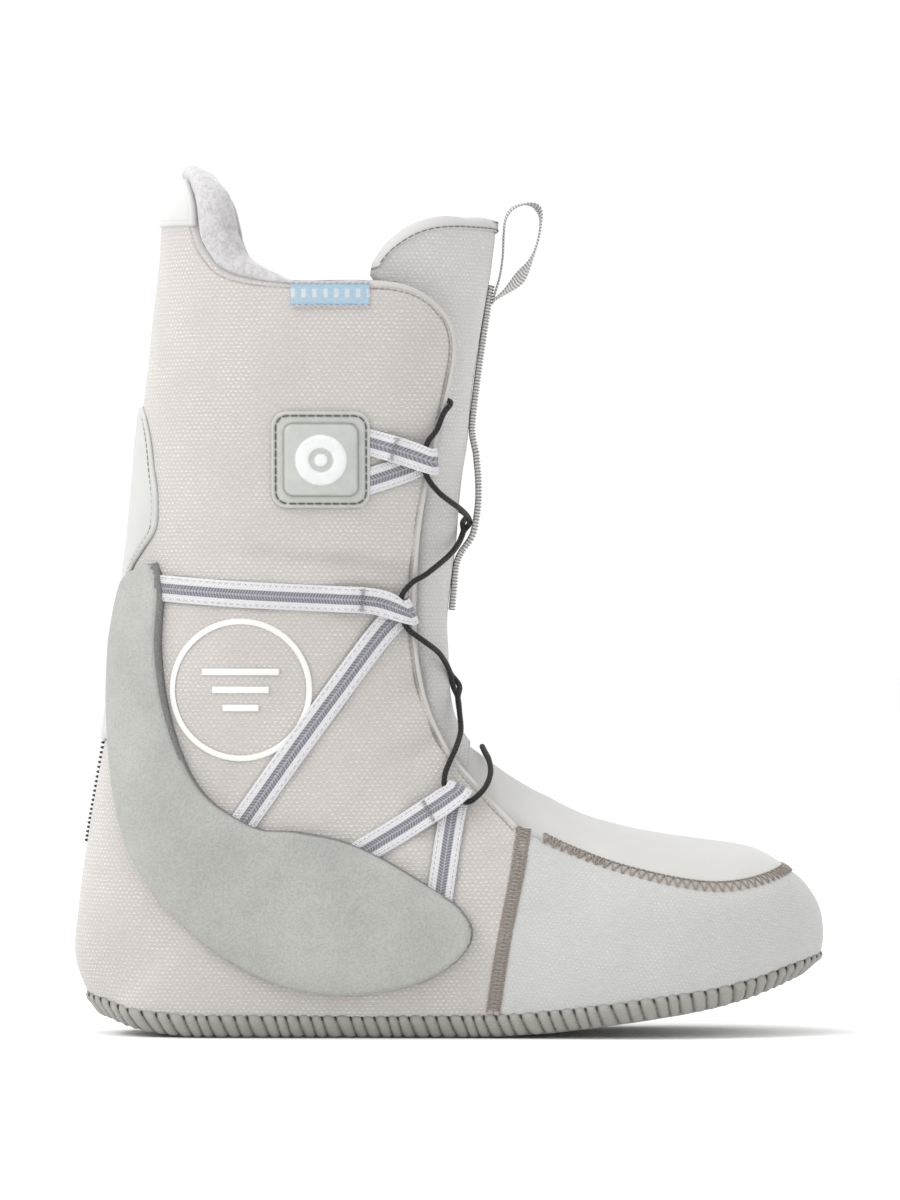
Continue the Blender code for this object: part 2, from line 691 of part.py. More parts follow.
def loop_rings(leg_a, leg_b, fold_axis, drop, side):
    """Cross-sections of a webbing strip: leg a on top, the fold round the lace, leg b below."""
    low_face = LAYER_GAP + 0.3
    high_face = low_face + WEBBING_THICK
    centre = high_face + FOLD_RADIUS
    fold = leg_a[-1]
    axis = Vector(fold_axis).normalized()
    count_a, count_b, arc = 10, 10, 5
    path_a = evenly(leg_a, count_a)
    path_b = evenly(leg_b, count_b)
    rows = []
    for i, (x, z) in enumerate(path_a):
        gone = math.dist((x, z), fold)
        under = low_face + (centre + FOLD_RADIUS - low_face) * loop_height(gone, drop)
        rows.append((x, z, under, under + WEBBING_THICK, cross_direction(path_a, i, axis, 1, gone)))
    out = Vector((axis.y, -axis.x))
    if out.dot(Vector(fold) - Vector(path_a[0])) < 0:
        out = -out
    for i in range(1, arc):
        turn = math.pi * (0.5 - i / arc)
        reach = math.cos(turn)
        thick = FOLD_RADIUS + WEBBING_THICK
        rows.append(
            (fold[0] + out.x * FOLD_RADIUS * reach, fold[1] + out.y * FOLD_RADIUS * reach,
             centre + FOLD_RADIUS * math.sin(turn), centre + thick * math.sin(turn), axis,
             out * WEBBING_THICK * reach)
        )
    for i, (x, z) in enumerate(path_b):
        gone = math.dist((x, z), fold)
        rows.append((x, z, high_face, low_face, cross_direction(path_b, i, axis, -1, gone)))
    rings = []
    for row in rows:
        x, z, inner, outer, across = row[:5]
        shift = row[5] if len(row) > 5 else Vector((0, 0))
        half = across * WEBBING_WIDTH / 2
        ring = []
        for sign, lift, moved in ((-1, inner, 0), (1, inner, 0), (1, outer, 1), (-1, outer, 1)):
            at_x = x + half.x * sign + shift.x * moved
            at_z = z + half.y * sign + shift.y * moved
            ring.append(on_shell(at_x, at_z, side, lift)[0])
        rings.append(ring)
    return rings


def loop_height(gone, drop):
    """How far the upper leg stands up, 1 at the fold, part way over the lower leg, then 0."""
    near, far = drop
    if gone < 8:
        return 1 - 0.55 * gone / 8
    if gone < near:
        return 0.45
    if gone < far:
        return 0.45 * (far - gone) / (far - near)
    return 0.0


def cross_direction(path, i, axis, way, gone):
    """Direction across the strip: square to the leg, turning to the fold's axis near the fold."""
    ahead = Vector(path[min(i + 1, len(path) - 1)])
    behind = Vector(path[max(i - 1, 0)])
    along = (ahead - behind).normalized() * way
    square = Vector((-along.y, along.x))
    if square.dot(axis) < 0:
        square = -square
    share = min(gone / 9.0, 1.0)
    return (axis * (1 - share) + square * share).normalized()


def make_seams(thread, dark, piping):
    """Flat zigzag seams, the flap piping and the stitches on the back seam."""
    for name, side in SIDES.items():
        path = line_on_shell(SIDE_SEAM, side, 14)
        strip("side_seam_" + name, path, 6.0, 0.6, 1.3, thread)
        inset = []
        edge = [p[:2] for p in QUARTER_EDGE]
        count = 40
        line = evenly(edge[:14], count)
        for i, (x, z) in enumerate(line):
            ahead, behind = line[min(i + 1, count - 1)], line[max(i - 1, 0)]
            along = Vector((ahead[0] - behind[0], ahead[1] - behind[1])).normalized()
            inset.append(on_shell(x - along.y * PIPING_INSET, z + along.x * PIPING_INSET, side))
        strip("eyestay_piping_" + name, inset, 2.4, 0.42, 0.75, piping)
    toe = line_on_shell(TOE_SEAM, LATERAL, 22)
    back = line_on_shell(TOE_SEAM, MEDIAL, 22)
    strip("toe_seam", toe + back[-2::-1], 5.0, 1.0, 1.7, thread)
    path = []
    for i in range(STITCHES):
        section = STITCH_START + (STITCH_END - STITCH_START) * i / (STITCHES - 1)
        path.append((shell(section, math.pi, 1), normal(section, math.pi, 1)))
    strip("heel_stitching", path, 4.8, 0.9, 1.6, dark)


def make_collar_lining(fleece):
    """Fleece rolled over the collar's edge and over the rear ear."""
    line = evenly(QUARTER_EDGE, 60)
    line = [row for row in line if row[0] < -58 and row[1] > 290]
    count = len(line)
    half_path = []
    for i, (x, z, _) in enumerate(line):
        ahead, behind = line[min(i + 1, count - 1)], line[max(i - 1, 0)]
        section, angle = locate(x, z)
        along = shell(*locate(*ahead[:2]), LATERAL) - shell(*locate(*behind[:2]), LATERAL)
        up = normal(section, angle, LATERAL)
        rise = up.cross(along).normalized()
        if rise.z < 0:
            rise = -rise
        extent, depth = smooth_at(ROLL_SIZE, (len(ROLL_SIZE) - 1) * i / (count - 1))
        half_path.append((shell(section, angle, LATERAL), up, rise, extent, depth))
    extent, depth = half_path[-1][3:]
    middle = Vector((-106, 0, 338)) * MM
    half_path.append((middle, Vector((-0.8, 0, 0.6)), Vector((0.6, 0, 0.8)), extent, depth))
    mirrored = []
    for point, up, rise, extent, depth in half_path[-2::-1]:
        flip = Vector((1, -1, 1))
        mirrored.append((point * flip, up * flip, rise * flip, extent, depth))
    mesh = bmesh.new()
    rings = []
    for point, up, rise, extent, depth in half_path + mirrored:
        corners = ((1.6, -0.4), (1.6 + extent * 0.7, -1.0), (1.6 + extent * 0.9, -depth * 0.35),
                   (1.6 + extent * 0.7, -depth * 0.85), (1.6, -depth))
        rings.append([mesh.verts.new(point + (rise * a + up * b) * MM) for a, b in corners])
    for near, far in zip(rings, rings[1:]):
        for i in range(5):
            mesh.faces.new((near[i], near[i - 1], far[i - 1], far[i]))
    mesh.faces.new(rings[0])
    mesh.faces.new(reversed(rings[-1]))
    bmesh.ops.recalc_face_normals(mesh, faces=mesh.faces)
    finish("collar_lining", mesh, fleece)


def make_inner_lining(fleece):
    """Fleece sock inside the foam, open at the front and under the foot."""
    start = [(section, 0.0) for section in (0.0, 0.5, 1.0, 1.7, 2.5)]
    end = [(section, welt_angle(section, 9.5)) for section, _ in start]
    toe = evenly(TOE_EDGE, 8)
    for x, z, section in toe[:-1]:
        start.append(locate(x, z))
        end.append((section, welt_angle(section, 9.5)))
    start[5] = (start[5][0], 0.0)
    edge = evenly(QUARTER_EDGE, 20)
    for x, z, section in edge:
        start.append(locate(x, z))
        end.append((section, welt_angle(section, 9.5)))
    grids = [panel(start, end, side, 7) for side in SIDES.values()]
    mesh = thicken(sheet(grids), LINING_LIFT - LINING_THICK, LINING_LIFT)
    finish("inner_lining", mesh, fleece)


def sole_outline(inset, rows=24):
    """Pairs of plan points (lateral, medial) of the sole, moved inwards by inset, in mm."""
    lateral, medial = [], []
    for i in range(rows + 1):
        section = SOLE_START + (SOLE_END - SOLE_START) * (1 - math.cos(math.pi * i / rows)) / 2
        row = smooth_at(STATIONS, section)
        lateral.append(Vector((row[2], row[6] - max(row[5], 0.4))))
        medial.append(Vector((row[2], row[6] + max(row[5], 0.4))))
    loop = lateral + medial[::-1]
    moved = []
    for i, point in enumerate(loop):
        along = (loop[(i + 1) % len(loop)] - loop[i - 1]).normalized()
        out = Vector((-along.y, along.x))
        moved.append((point - out * inset, out))
    return moved[: rows + 1], moved[: rows : -1], moved


def slab(name, inset, low, high, look, first=0, last=25):
    """Sheet with the sole's outline between two heights above the underside."""
    lateral, medial, _ = sole_outline(inset)
    mesh = bmesh.new()
    rows = []
    for (a, _), (b, _) in list(zip(lateral, medial))[first:last]:
        ground = sole_height(min(max((a.x + b.x) / 2, -138.0), 138.0))
        ring = []
        for point, height in ((a, low), (b, low), (b, high), (a, high)):
            ring.append(mesh.verts.new(Vector((point.x, point.y, ground + height)) * MM))
        rows.append(ring)
    for near, far in zip(rows, rows[1:]):
        for i in range(4):
            mesh.faces.new((near[i], near[i - 1], far[i - 1], far[i]))
    mesh.faces.new(rows[0])
    mesh.faces.new(reversed(rows[-1]))
    bmesh.ops.recalc_face_normals(mesh, faces=mesh.faces)
    return finish(name, mesh, look)


def make_sole(sole, board, bed, thread):
    """Outsole sheet, lasting board, footbed and the welt round them."""
    slab("sole_board", 0.4, 0.0, SOLE_THICK, sole, 1, 24)
    slab("insole_board", 4.0, SOLE_THICK + 0.4, SOLE_THICK + 2.0, board, 2, 23)
    slab("footbed", 6.2, SOLE_THICK + 2.4, SOLE_THICK + 6.4, bed, 2, 23)
    _, _, loop = sole_outline(0.0)
    mesh = bmesh.new()
    rings = []
    for point, out in loop[1:24] + loop[26:49]:
        ground = sole_height(min(max(point.x, -138.0), 138.0))
        ring = []
        for away, height in WELT_PROFILE:
            place = point + out * away
            ring.append(mesh.verts.new(Vector((place.x, place.y, ground + height)) * MM))
        rings.append(ring)
    count = len(WELT_PROFILE)
    for near, far in zip(rings, rings[1:] + rings[:1]):
        for i in range(count):
            mesh.faces.new((near[i], near[i - 1], far[i - 1], far[i]))
    bmesh.ops.recalc_face_normals(mesh, faces=mesh.faces)
    finish("sole_welt", mesh, thread)


def lace_knots():
    """The route's points from the lateral flap's top to the medial flap's top."""

    def mirrored(points):
        return [(x, -y, z) for x, y, z in points]

    return (
        LACE_TOP + [LACE_CROSS_TAPE[0]] + mirrored(LACE_MIDDLE) + [LACE_CROSS_TONGUE[0]]
        + LACE_LOWER + [LACE_CROSS_VAMP] + mirrored(LACE_LOWER)[::-1] + [LACE_CROSS_TONGUE[1]]
        + LACE_MIDDLE[::-1] + [LACE_CROSS_TAPE[1]] + mirrored(LACE_TOP)[::-1]
    )


def make_lace(look):
    """One lace, criss-crossed from flap top to flap top through the loops."""
    knots = lace_knots()
    last = LACE_POINTS - 1
    route = [smooth_at(knots, i * (len(knots) - 1) / last) for i in range(LACE_POINTS)]
    curve = bpy.data.curves.new("lace", "CURVE")
    curve.dimensions = "3D"
    curve.bevel_depth = LACE_DIAMETER / 2 * MM
    curve.bevel_resolution = 2
    curve.use_fill_caps = True
    spline = curve.splines.new("POLY")
    spline.points.add(len(route) - 1)
    for point, place in zip(spline.points, route):
        point.co = (*(Vector(place) * MM), 1.0)
    curve.materials.append(look)
    made = bpy.data.objects.new("lace", curve)
    bpy.context.scene.collection.objects.link(made)


def main():
    for thing in list(bpy.data.objects):
        bpy.data.objects.remove(thing)
    foam = material("mesh_foam", (0.66, 0.62, 0.59), 0.9)
    smooth = material("smooth_overlay", (0.72, 0.74, 0.69), 0.6)
    stretch = material("stretch_vamp", (0.62, 0.61, 0.59), 0.8)
    eva = material("speckled_foam", (0.55, 0.57, 0.55), 0.85)
    fleece = material("fleece", (0.61, 0.59, 0.63), 0.95)
    white = material("white_tab", (0.93, 0.93, 0.92), 0.5)
    webbing = material("webbing", (0.85, 0.84, 0.87), 0.8)
    leather = material("leather", (0.55, 0.57, 0.52), 0.55)
    woven = material("woven_label", (0.38, 0.6, 0.8), 0.7)
    thread = material("thread", (0.4, 0.36, 0.33), 0.85)
    dark = material("black_cord", (0.02, 0.02, 0.02), 0.8)
    tape = material("ribbed_tape", (0.45, 0.44, 0.44), 0.85)
    make_quarters(foam)
    make_toe_panel(foam)
    make_vamp(stretch)
    make_tongue(foam, smooth)
    make_tape(tape)
    make_pull_loop(tape)
    make_overlays(smooth, white, white)
    make_j_bars(eva)
    make_patch(leather, leather)
    make_label(woven)
    make_lace_loops(webbing)
    make_seams(thread, dark, smooth)
    make_collar_lining(fleece)
    make_inner_lining(fleece)
    make_sole(eva, tape, eva, thread)
    make_lace(dark)


main()
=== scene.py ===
"""Looks of the removable inner boot: padded fabric, seams, webbing, lace and fleece.

Everything is worked out in mm on the same shell as the CAD model and turned into metres when a mesh
is made. A place on the shell is a section number, an angle from 0 at the front line to pi at the
back line, and a side.
"""

import math

import bpy
import numpy as np
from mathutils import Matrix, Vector, kdtree, noise


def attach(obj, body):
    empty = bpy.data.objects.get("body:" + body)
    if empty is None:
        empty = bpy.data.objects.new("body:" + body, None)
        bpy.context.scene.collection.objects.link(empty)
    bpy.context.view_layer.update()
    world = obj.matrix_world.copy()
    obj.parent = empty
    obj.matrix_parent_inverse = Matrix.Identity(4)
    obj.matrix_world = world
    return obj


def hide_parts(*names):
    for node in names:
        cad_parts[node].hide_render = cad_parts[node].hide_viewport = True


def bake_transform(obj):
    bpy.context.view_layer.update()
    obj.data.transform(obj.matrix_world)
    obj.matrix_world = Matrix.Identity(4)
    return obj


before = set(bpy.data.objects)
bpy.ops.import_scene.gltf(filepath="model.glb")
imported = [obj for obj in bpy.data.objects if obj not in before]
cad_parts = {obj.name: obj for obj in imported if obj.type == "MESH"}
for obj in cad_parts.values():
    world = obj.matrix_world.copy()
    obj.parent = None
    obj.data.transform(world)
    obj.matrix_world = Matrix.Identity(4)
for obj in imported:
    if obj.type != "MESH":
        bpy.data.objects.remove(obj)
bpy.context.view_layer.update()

MM = 0.001
LATERAL = -1
MEDIAL = 1
SIDES = {"lateral": LATERAL, "medial": MEDIAL}

FOAM = 7.5           # thickness of the quarters and the toe panel
LAYER_GAP = 0.8      # clearance under a piece that lies on the foam
LINING_LIFT = -9.3   # outer face of the inner lining, below the shell
LINING_THICK = 1.1
TONGUE_LIFT = -9.4   # outer face of the tongue, below the shell
TONGUE_THICK = 9.0
TONGUE_HALF = 32.0   # most that the tongue reaches to each side below its wings
TONGUE_ROOM = 1.8    # clearance between the tongue and the lining beside it
VAMP_THICK = 2.6
WEBBING_WIDTH = 10.2
WEBBING_THICK = 1.1
LACE_DIAMETER = 2.2
WELT_HEIGHT = 8.0
SOLE_THICK = 3.0
ROUNDNESS = 2.3      # exponent of the cross-sections, 2 for an ellipse

# Cross-sections in mm: front x, front z, back x, back z, half width, half width of the flat sole,
# sideways shift of the middle.
STATIONS = [
    (147.6, 39.5, 147.6, 39.5, 0, 0, 8),
    (146.2, 49, 146.0, 31, 13, 0, 8),
    (142, 57, 139.5, 24.0, 24, 2, 8),
    (136, 63, 133, 21, 32, 17, 8),
    (127, 69, 125, 18, 40, 27, 7.5),
    (115, 73, 115, 14.5, 46, 34, 7),
    (99, 75.3, 100, 10.7, 51, 40, 6),
    (83, 77.5, 84, 8, 54, 43, 5),
    (66, 81, 66, 5.3, 54, 43, 4),
    (50, 86.5, 48, 3.0, 52, 41, 3),
    (38, 97, 30, 1.1, 49, 38, 2),
    (27, 109, 6, 0, 47, 34, 1),
    (17, 119, -30, 0, 45, 32, 0),
    (11.5, 127, -68, 0, 44, 32, 0),
    (9.5, 134, -100, 0, 44, 30, 0),
    (9, 140, -120, 2.4, 44.5, 23, 0),
    (9, 145, -131, 6, 45, 14, 0),
    (9, 150, -138.5, 10, 45, 0, 0),
    (9, 157, -147, 29, 45, 0, 0),
    (9.5, 165, -146, 51, 45, 0, 0),
    (10.5, 175, -142, 79, 45, 0, 0),
    (12, 192, -136.5, 111, 46, 0, 0),
    (14, 212, -131, 147, 48, 0, 0),
    (17, 234, -126, 190, 50, 0, 0),
    (19.5, 256, -122, 233, 52, 0, 0),
    (22.5, 277, -118, 267, 54, 0, 0),
    (26, 300, -114.5, 299, 55.5, 0, 0),
    (28.5, 322, -112, 323, 56.5, 0, 0),
    (30, 345, -102.5, 340.5, 57, 0, 0),
]
SOLE_START = 2.0     # section numbers where the flat sole starts and ends
SOLE_END = 17.0

# Free edge of a quarter from the side seam up the eyestay, along the collar and up the rear ear:
# x, z and the section number that the row of the panel reaches at the sole or the back seam.
QUARTER_EDGE = [
    (27, 83, 10.65), (11.6, 99, 11.8), (-0.2, 113.5, 13.3), (-8.1, 131, 15.3), (-12, 150, 17.6),
    (-13, 170, 19.3), (-10.5, 200, 21.0), (-5.7, 226, 22.2), (0.5, 252, 23.3), (3, 268, 24.0),
    (0.8, 279, 24.5), (-7, 288, 24.9), (-18, 293, 25.2), (-35, 294.3, 25.45), (-60, 294.3, 25.75),
    (-76, 295.6, 26.0), (-88, 299, 26.3), (-95.6, 307, 26.6), (-98.6, 315, 26.9),
    (-99.8, 326, 27.3), (-102.4, 335, 27.7),
]
# Upper edge of the toe panel from the top of the toe to the side seam: x, z, section at the sole.
TOE_EDGE = [
    (133.5, 65.4, 3.2), (126, 62.5, 3.9), (116, 60, 4.9), (104, 59, 5.8), (91, 60.4, 6.6),
    (76, 63.6, 7.5), (61, 67.8, 8.4), (46, 73.6, 9.3), (36, 78.3, 10.05), (28.2, 82.3, 10.62),
]

# The vamp's rows: section number and height against the shell.
VAMP_ROWS = [
    (3.4, 0), (3.7, 0), (4.05, 0), (4.6, 0), (5.4, 0), (6.3, 0), (7.2, 0), (8.1, 0), (9.0, -0.4),
    (9.6, -2.4), (10.2, -5.4), (10.8, -8.0), (11.4, -9.2), (11.9, -10.2), (12.4, -12.0), (13.1, -14.5),
]
# Outline of the tongue's wings and top: x, z and the section number of the row's front end.
TONGUE_TOP = [
    (-29, 298.2, 25.93), (-27.6, 302, 26.05), (-21.5, 309.2, 26.2), (-13, 314.8, 26.35),
    (-3, 318, 26.5), (6, 319, 26.62), (15, 318.6, 26.72),
]
# Lower edge of the binding along the tongue's top: x, z.
BINDING_LINE = [
    (-26, 299.6), (-22, 304), (-17, 307.8), (-10, 311.4), (-2, 313.6), (8, 314.4), (19, 314.3),
    (29, 314.2),
]
# The tape along the tongue's front: section number and height over the tongue.
TAPE_ROUTE = [
    (25.7, 1.0), (25, 1.0), (24, 1.0), (23.2, 1.0), (22.8, 2.2), (22.3, 4.8), (21.9, 6.0),
    (21.5, 5.9), (21.2, 5.0), (20.9, 2.2), (20.5, 1.0), (19.8, 1.0), (19.1, 1.0),
]
# The pull loop's middle line from its foot, up its rear leg and down its front leg: x, z.
PULL_LOOP = [
    (16.9, 287.2), (17.9, 291.4), (19.8, 298), (21, 306), (21.4, 315), (22.2, 321), (25, 325),
    (30, 326.6), (34.4, 325.4), (36, 321), (35, 313), (32.3, 305), (28, 298), (24, 293.8),
    (19.8, 290.4), (17, 288.2),
]
# Heel overlay: section number and half width in mm across the back.
OVERLAY_ROWS = [
    (21.12, 17), (21.3, 16), (21.75, 11), (22.17, 7.2), (22.5, 10), (22.77, 16), (22.95, 25),
    (23.12, 31), (23.4, 31), (23.65, 28.5), (24.0, 24), (24.25, 17), (24.38, 8),
]
# Edge of the collar tab: x, z and the section number at the back line.
TAB_EDGE = [
    (-98.9, 316, 26.72), (-99.2, 321, 26.95), (-99.9, 326, 27.2), (-101.2, 331, 27.44),
    (-102.8, 335.2, 27.66),
]
RING = (-81, 135.7, 26.6)                        # middle x, middle z, radius
RING_BARS = ((7, 15), (0, 11), (-7, 7))          # height over the middle, half length
# Edges of the J-bars from the top of the heel to the front tip: x, z.
J_BAR_OUTER = [
    (-113.7, 185.4), (-123.3, 180), (-127, 168), (-129.4, 154), (-130.4, 138), (-130.4, 122),
    (-129.8, 104), (-127.6, 87), (-123, 71), (-114, 56), (-103, 44), (-89, 32.5), (-73, 23.4),
    (-57, 18.6), (-40, 17), (-23.8, 19), (-9.7, 22.5), (1.3, 29), (7.4, 35.5), (9.1, 41),
]
J_BAR_INNER = [
    (-113.7, 185.4), (-112, 180), (-111, 172), (-111.6, 162), (-111.8, 150), (-110, 133.6),
    (-106, 117.5), (-100.3, 103.6), (-93, 93.4), (-84, 87), (-73, 81.8), (-61, 81), (-48, 79),
    (-36.8, 75.6), (-23.8, 69.2), (-7.7, 59.5), (2.2, 53), (7.3, 47), (8.8, 44), (9.1, 41),
]
PATCH_CENTRE = (-49.9, 225)
PATCH_HALF = (19.2, 18.9)    # half width and half height
PATCH_CORNER = 6.0
PATCH_STITCH = 1.9           # stitch line from the patch's edge
CUSHION_HALF = (14.6, 14.4)
CUSHION_CORNER = 4.0
LABEL_ENDS = (-61.6, -30.6)
LABEL_EDGES = (284.6, 293.4)
FOLD_RADIUS = 2.1    # inside of a lace loop's fold
# Lace loops: upper leg and lower leg from tail to fold and back, direction of the fold, and how
# far from the fold the upper leg comes down beside the lower one.
LACE_LOOPS = {
    "upper": (
        [(-33.4, 232.4), (-20, 228.6), (-10, 224.9)],
        [(-10, 224.9), (-20, 220.6), (-33.4, 216.0)],
        (-0.05, 1.0), (14, 20),
    ),
    "middle": (
        [(-113.2, 175.3), (-83, 172.9), (-50, 171.3), (-34, 170.8), (-26, 169.3), (-18.6, 166)],
        [(-18.6, 166), (-26, 159), (-44.2, 134.3), (-62, 109.8), (-81.5, 82)],
        (-0.33, 0.94), (20, 32),
    ),
    "lower": (
        [(-38.6, 69.8), (-14, 84.5), (2.6, 94.2)],
        [(2.6, 94.2), (0, 81), (-4.4, 51)],
        (0.89, -0.46), (14, 24),
    ),
}
# Side seam from the flap's foot down to the welt, and toe seam from the side seam forwards: x, z.
SIDE_SEAM = [(29.2, 82), (28.2, 76), (26.6, 66), (23.6, 51), (20.4, 34), (16.8, 9.6)]
TOE_SEAM = [(x, z) for x, z, _ in TOE_EDGE[8::-1]]
STITCH_START = 19.9  # sections between which the back seam's stitches lie
STITCH_END = 21.1
# Extent over the collar's edge and depth of the fleece roll, from the side of the collar to the
# top of the ear.
ROLL_SIZE = [(-2.6, 7), (1.3, 9), (4.5, 13), (8.5, 14), (10.5, 14), (11.5, 14), (10, 13), (6, 12)]
# The roll at the top of the ear, on the middle: place, direction outwards and direction upwards.
ROLL_TOP = [(-106.0, 0, 338), (-0.8, 0, 0.6), (0.6, 0, 0.8)]
# The lace on the lateral side, from the top down: x, y, z. The medial side mirrors it.
LACE_TOP = [
    (-13.6, -36.7, 248.3), (-8.4, -34.1, 248.9), (-4.7, -33.1, 249), (-1.5, -34.7, 248.4),
    (0.3, -37.1, 247.7), (0.1, -39.8, 246.3), (-2.3, -42.4, 243), (-5, -43.9, 236.5),
    (-8.6, -46.0, 231.5), (-9.8, -46.5, 224.8), (-8.8, -44.2, 218.6), (-4.7, -39.6, 213),
    (-0.6, -34.2, 209.6), (3.4, -26, 206.8), (6.6, -14, 204),
]
LACE_MIDDLE = [
    (5.4, -7.5, 197.4), (3.6, -14.5, 193), (-0.2, -24, 188), (-6.5, -35, 182.6),
    (-10, -38.4, 180), (-14.4, -41.2, 177.4), (-18.4, -43.3, 172.4), (-18.6, -43.1, 166),
    (-16.6, -40.9, 160), (-13, -37.6, 156.8), (-9.4, -34.6, 154.2), (-4.6, -26, 150.4),
    (-1.8, -18, 146.5), (0.4, -9, 141.6),
]
LACE_LOWER = [
    (3.3, -8, 132), (4, -15.5, 126), (4.4, -24, 119.4), (2.6, -32.6, 113.2), (0.2, -36.8, 108),
    (-1.8, -40.4, 102.6), (-1.6, -43, 97.2), (2.6, -44.3, 94.2), (7.2, -44, 92.2),
    (11.2, -41.7, 94.8), (14.4, -38.0, 98.6), (16, -31, 103.2), (15.6, -22, 107.4), (14, -12, 110.6),
]
# Crossings on the middle: under the tape, over the tongue, and over the vamp.
LACE_CROSS_TAPE = ((7.9, 0, 201), (5.2, 0, 201))
LACE_CROSS_TONGUE = ((3.9, 0, 136.8), (1.4, 0, 136.8))
LACE_CROSS_VAMP = (12.9, 0, 112.9)
# Detail that the CAD model leaves out, in mm.
PANEL_FOOT = 5.0     # height over the underside at which the panels end, behind the welt
PIPING_WIDE = 3.0    # stitch groove from the flap's edge
RIB_PITCH = 1.25     # ribs of the tongue's tape
WELT_PITCH = 4.9     # lumps of the whip-stitched welt
WELT_SLANT = 0.5     # lean of the lumps over the welt's height, in lumps
# The welt's outer face, level by level: height over the underside, how far it lies outside the shell
# between two lumps, how far a lump stands out, and how far the level shifts up on a lump and in a gap.
WELT_LEVELS = [
    (0.5, -0.15, 0.35, -0.2, 1.1), (1.4, -0.55, 0.85, 0, 0.6), (2.8, -0.75, 1.05, 0, 0),
    (4.4, -0.6, 1.05, 0, 0), (6.0, 0.2, 0.95, 0, 0), (7.6, 0.2, 0.7, 0, -0.3),
    (8.8, 0.1, 0.1, 0.5, -0.9),
]
TACK_PLACE = {"upper": 13.5, "middle": 17.0, "lower": 12.5}    # bar tack from a loop's fold
WING_START = 23.4    # section from which the tongue widens into its wings
# Back edge, in the side view, of the thin cloth beside the tongue.
GUSSET_BACK = [
    (13, 88), (3, 100), (-8, 112), (-14, 123), (-19, 137), (-22, 153), (-22.5, 165), (-21, 183),
    (-19.5, 205), (-15.5, 230), (-10, 250), (-5, 262),
]

# The camera's height and distance, and the height that it takes in at the boot, in metres.
VIEW_LEVEL = 0.1706
VIEW_AWAY = 3.0
VIEW_HEIGHT = 0.4728
# Soft lamps: place and size in metres, power in watts.
LAMPS = {
    "key": ((-2.2, -1.3, 2.3), 1.6, 42),
    "top": ((-0.4, -0.4, 2.8), 1.4, 14),
    "rim": ((-1.6, 1.6, 1.6), 1.4, 10),
}
LAMP_TARGET = (0, 0, 0.16)
FLOOR_RADIUS = 14000

ALBEDO = 0.80        # share of light that a screen value stands for, as the studio is brighter than 1
# Sewing threads, and a dark brown one whose thick ends paint the shade of the welt's stitch holes.
THREADS = {
    "taupe": (172, 162, 152), "black": (30, 30, 30), "grey_green": (96, 100, 95),
    "umber": (118, 110, 103), "white": (238, 236, 240), "hole_shade_brown": (70, 65, 61),
}
# Plain cloths: colour, grain in mm, depth of the grain, then roughness, sheen and the colour of painted
# shade in grooves.
CLOTHS = {
    "backing": ((196, 193, 192), 0.5, 0.2),
    "smooth_overlay": ((201, 202, 198), 0.35, 0.05, 0.5, 0.1),
    "seam_cloth": ((190, 184, 178), 0.5, 0.2),
    "binding": ((204, 201, 201), 0.35, 0.05, 0.7),
    "piping": ((204, 200, 196), 0.35, 0.05, 0.7, 0.1),
    "stretch_fabric": ((212, 211, 208), 0.45, 0.12, 0.75, 0.3),
    "white_tab": ((216, 216, 215), 0.4, 0.06, 0.5),
    "raised_print": ((246, 245, 240), 0.5, 0.05, 0.45),
    # Welt cloth: a grey painted darker for the shade it lies in low under the boot, and a dark colour
    # for painted shade in its crevices.
    "welt_fabric": ((162, 159, 152), 0.6, 0.25, 0.85, 0.2, (84, 77, 71)),
    "footbed_foam": ((120, 122, 126), 0.6, 0.2, 0.9, 0.4),
}
# Spacer meshes: ground, dash, length of a dash and of a row in mm, then contrast and turn.
MESHES = {
    "mesh_fabric": ((202, 197, 193), (236, 231, 227), 2.1, 1.55),
    "toe_mesh": ((204, 204, 202), (228, 228, 226), 1.8, 1.3, 0.8, 0.12),
    "tongue_mesh": ((210, 207, 206), (238, 236, 236), 2.1, 1.55),
}


def smooth_at(rows, place):
    """Values at fractional rows of a table, on a curve through all its rows."""
    table = np.array(rows, float)
    last = len(table) - 1
    place = np.clip(np.asarray(place, float), 0, last)
    row = np.minimum(place.astype(int), last - 1)
    part = (place - row)[..., None]
    before = table[np.maximum(row - 1, 0)]
    start = table[row]
    end = table[row + 1]
    after = table[np.minimum(row + 2, last)]
    slope = (end - before) / 2
    slope_after = (after - start) / 2
    curve = part**2 * (3 * (end - start) - 2 * slope - slope_after)
    return start + part * slope + curve + part**3 * (2 * (start - end) + slope + slope_after)


def run_along(points):
    """Distance from the first point to each point of a line."""
    steps = np.linalg.norm(np.diff(points, axis=0), axis=1)
    return np.concatenate([[0.0], np.cumsum(steps)])


def resample(points, count, used=None):
    """Points spaced evenly along a line, measured over its first columns."""
    points = np.asarray(points, float)
    run = run_along(points[:, :used])
    want = np.linspace(0, run[-1], count)
    return np.stack([np.interp(want, run, column) for column in points.T], 1)


def evenly(rows, count, used=2):
    """Points spaced evenly along the smooth curve through rows."""
    last = len(rows) - 1
    return resample(smooth_at(rows, np.linspace(0, last, 24 * last + 1)), count, used)


def turns(count):
    """Angles spaced evenly round a full turn."""
    return np.linspace(0, 2 * math.pi, count, endpoint=False)


def bell(value, width, power=2):
    """Soft bump, 1 where value is 0 and falling off over width."""
    return np.exp(-((value / width) ** power))


def ramp(value, start, length):
    """Share from 0 at start to 1 where value has gone length further."""
    return np.clip((value - start) / length, 0, 1)


def squarer(wave, power):
    """Sines or cosines from -1 to 1 with fuller shoulders, for a power below 1."""
    return np.sign(wave) * np.abs(wave) ** power


def unit(vectors):
    """Vectors of length 1."""
    return vectors / np.maximum(np.linalg.norm(vectors, axis=-1, keepdims=True), 1e-9)


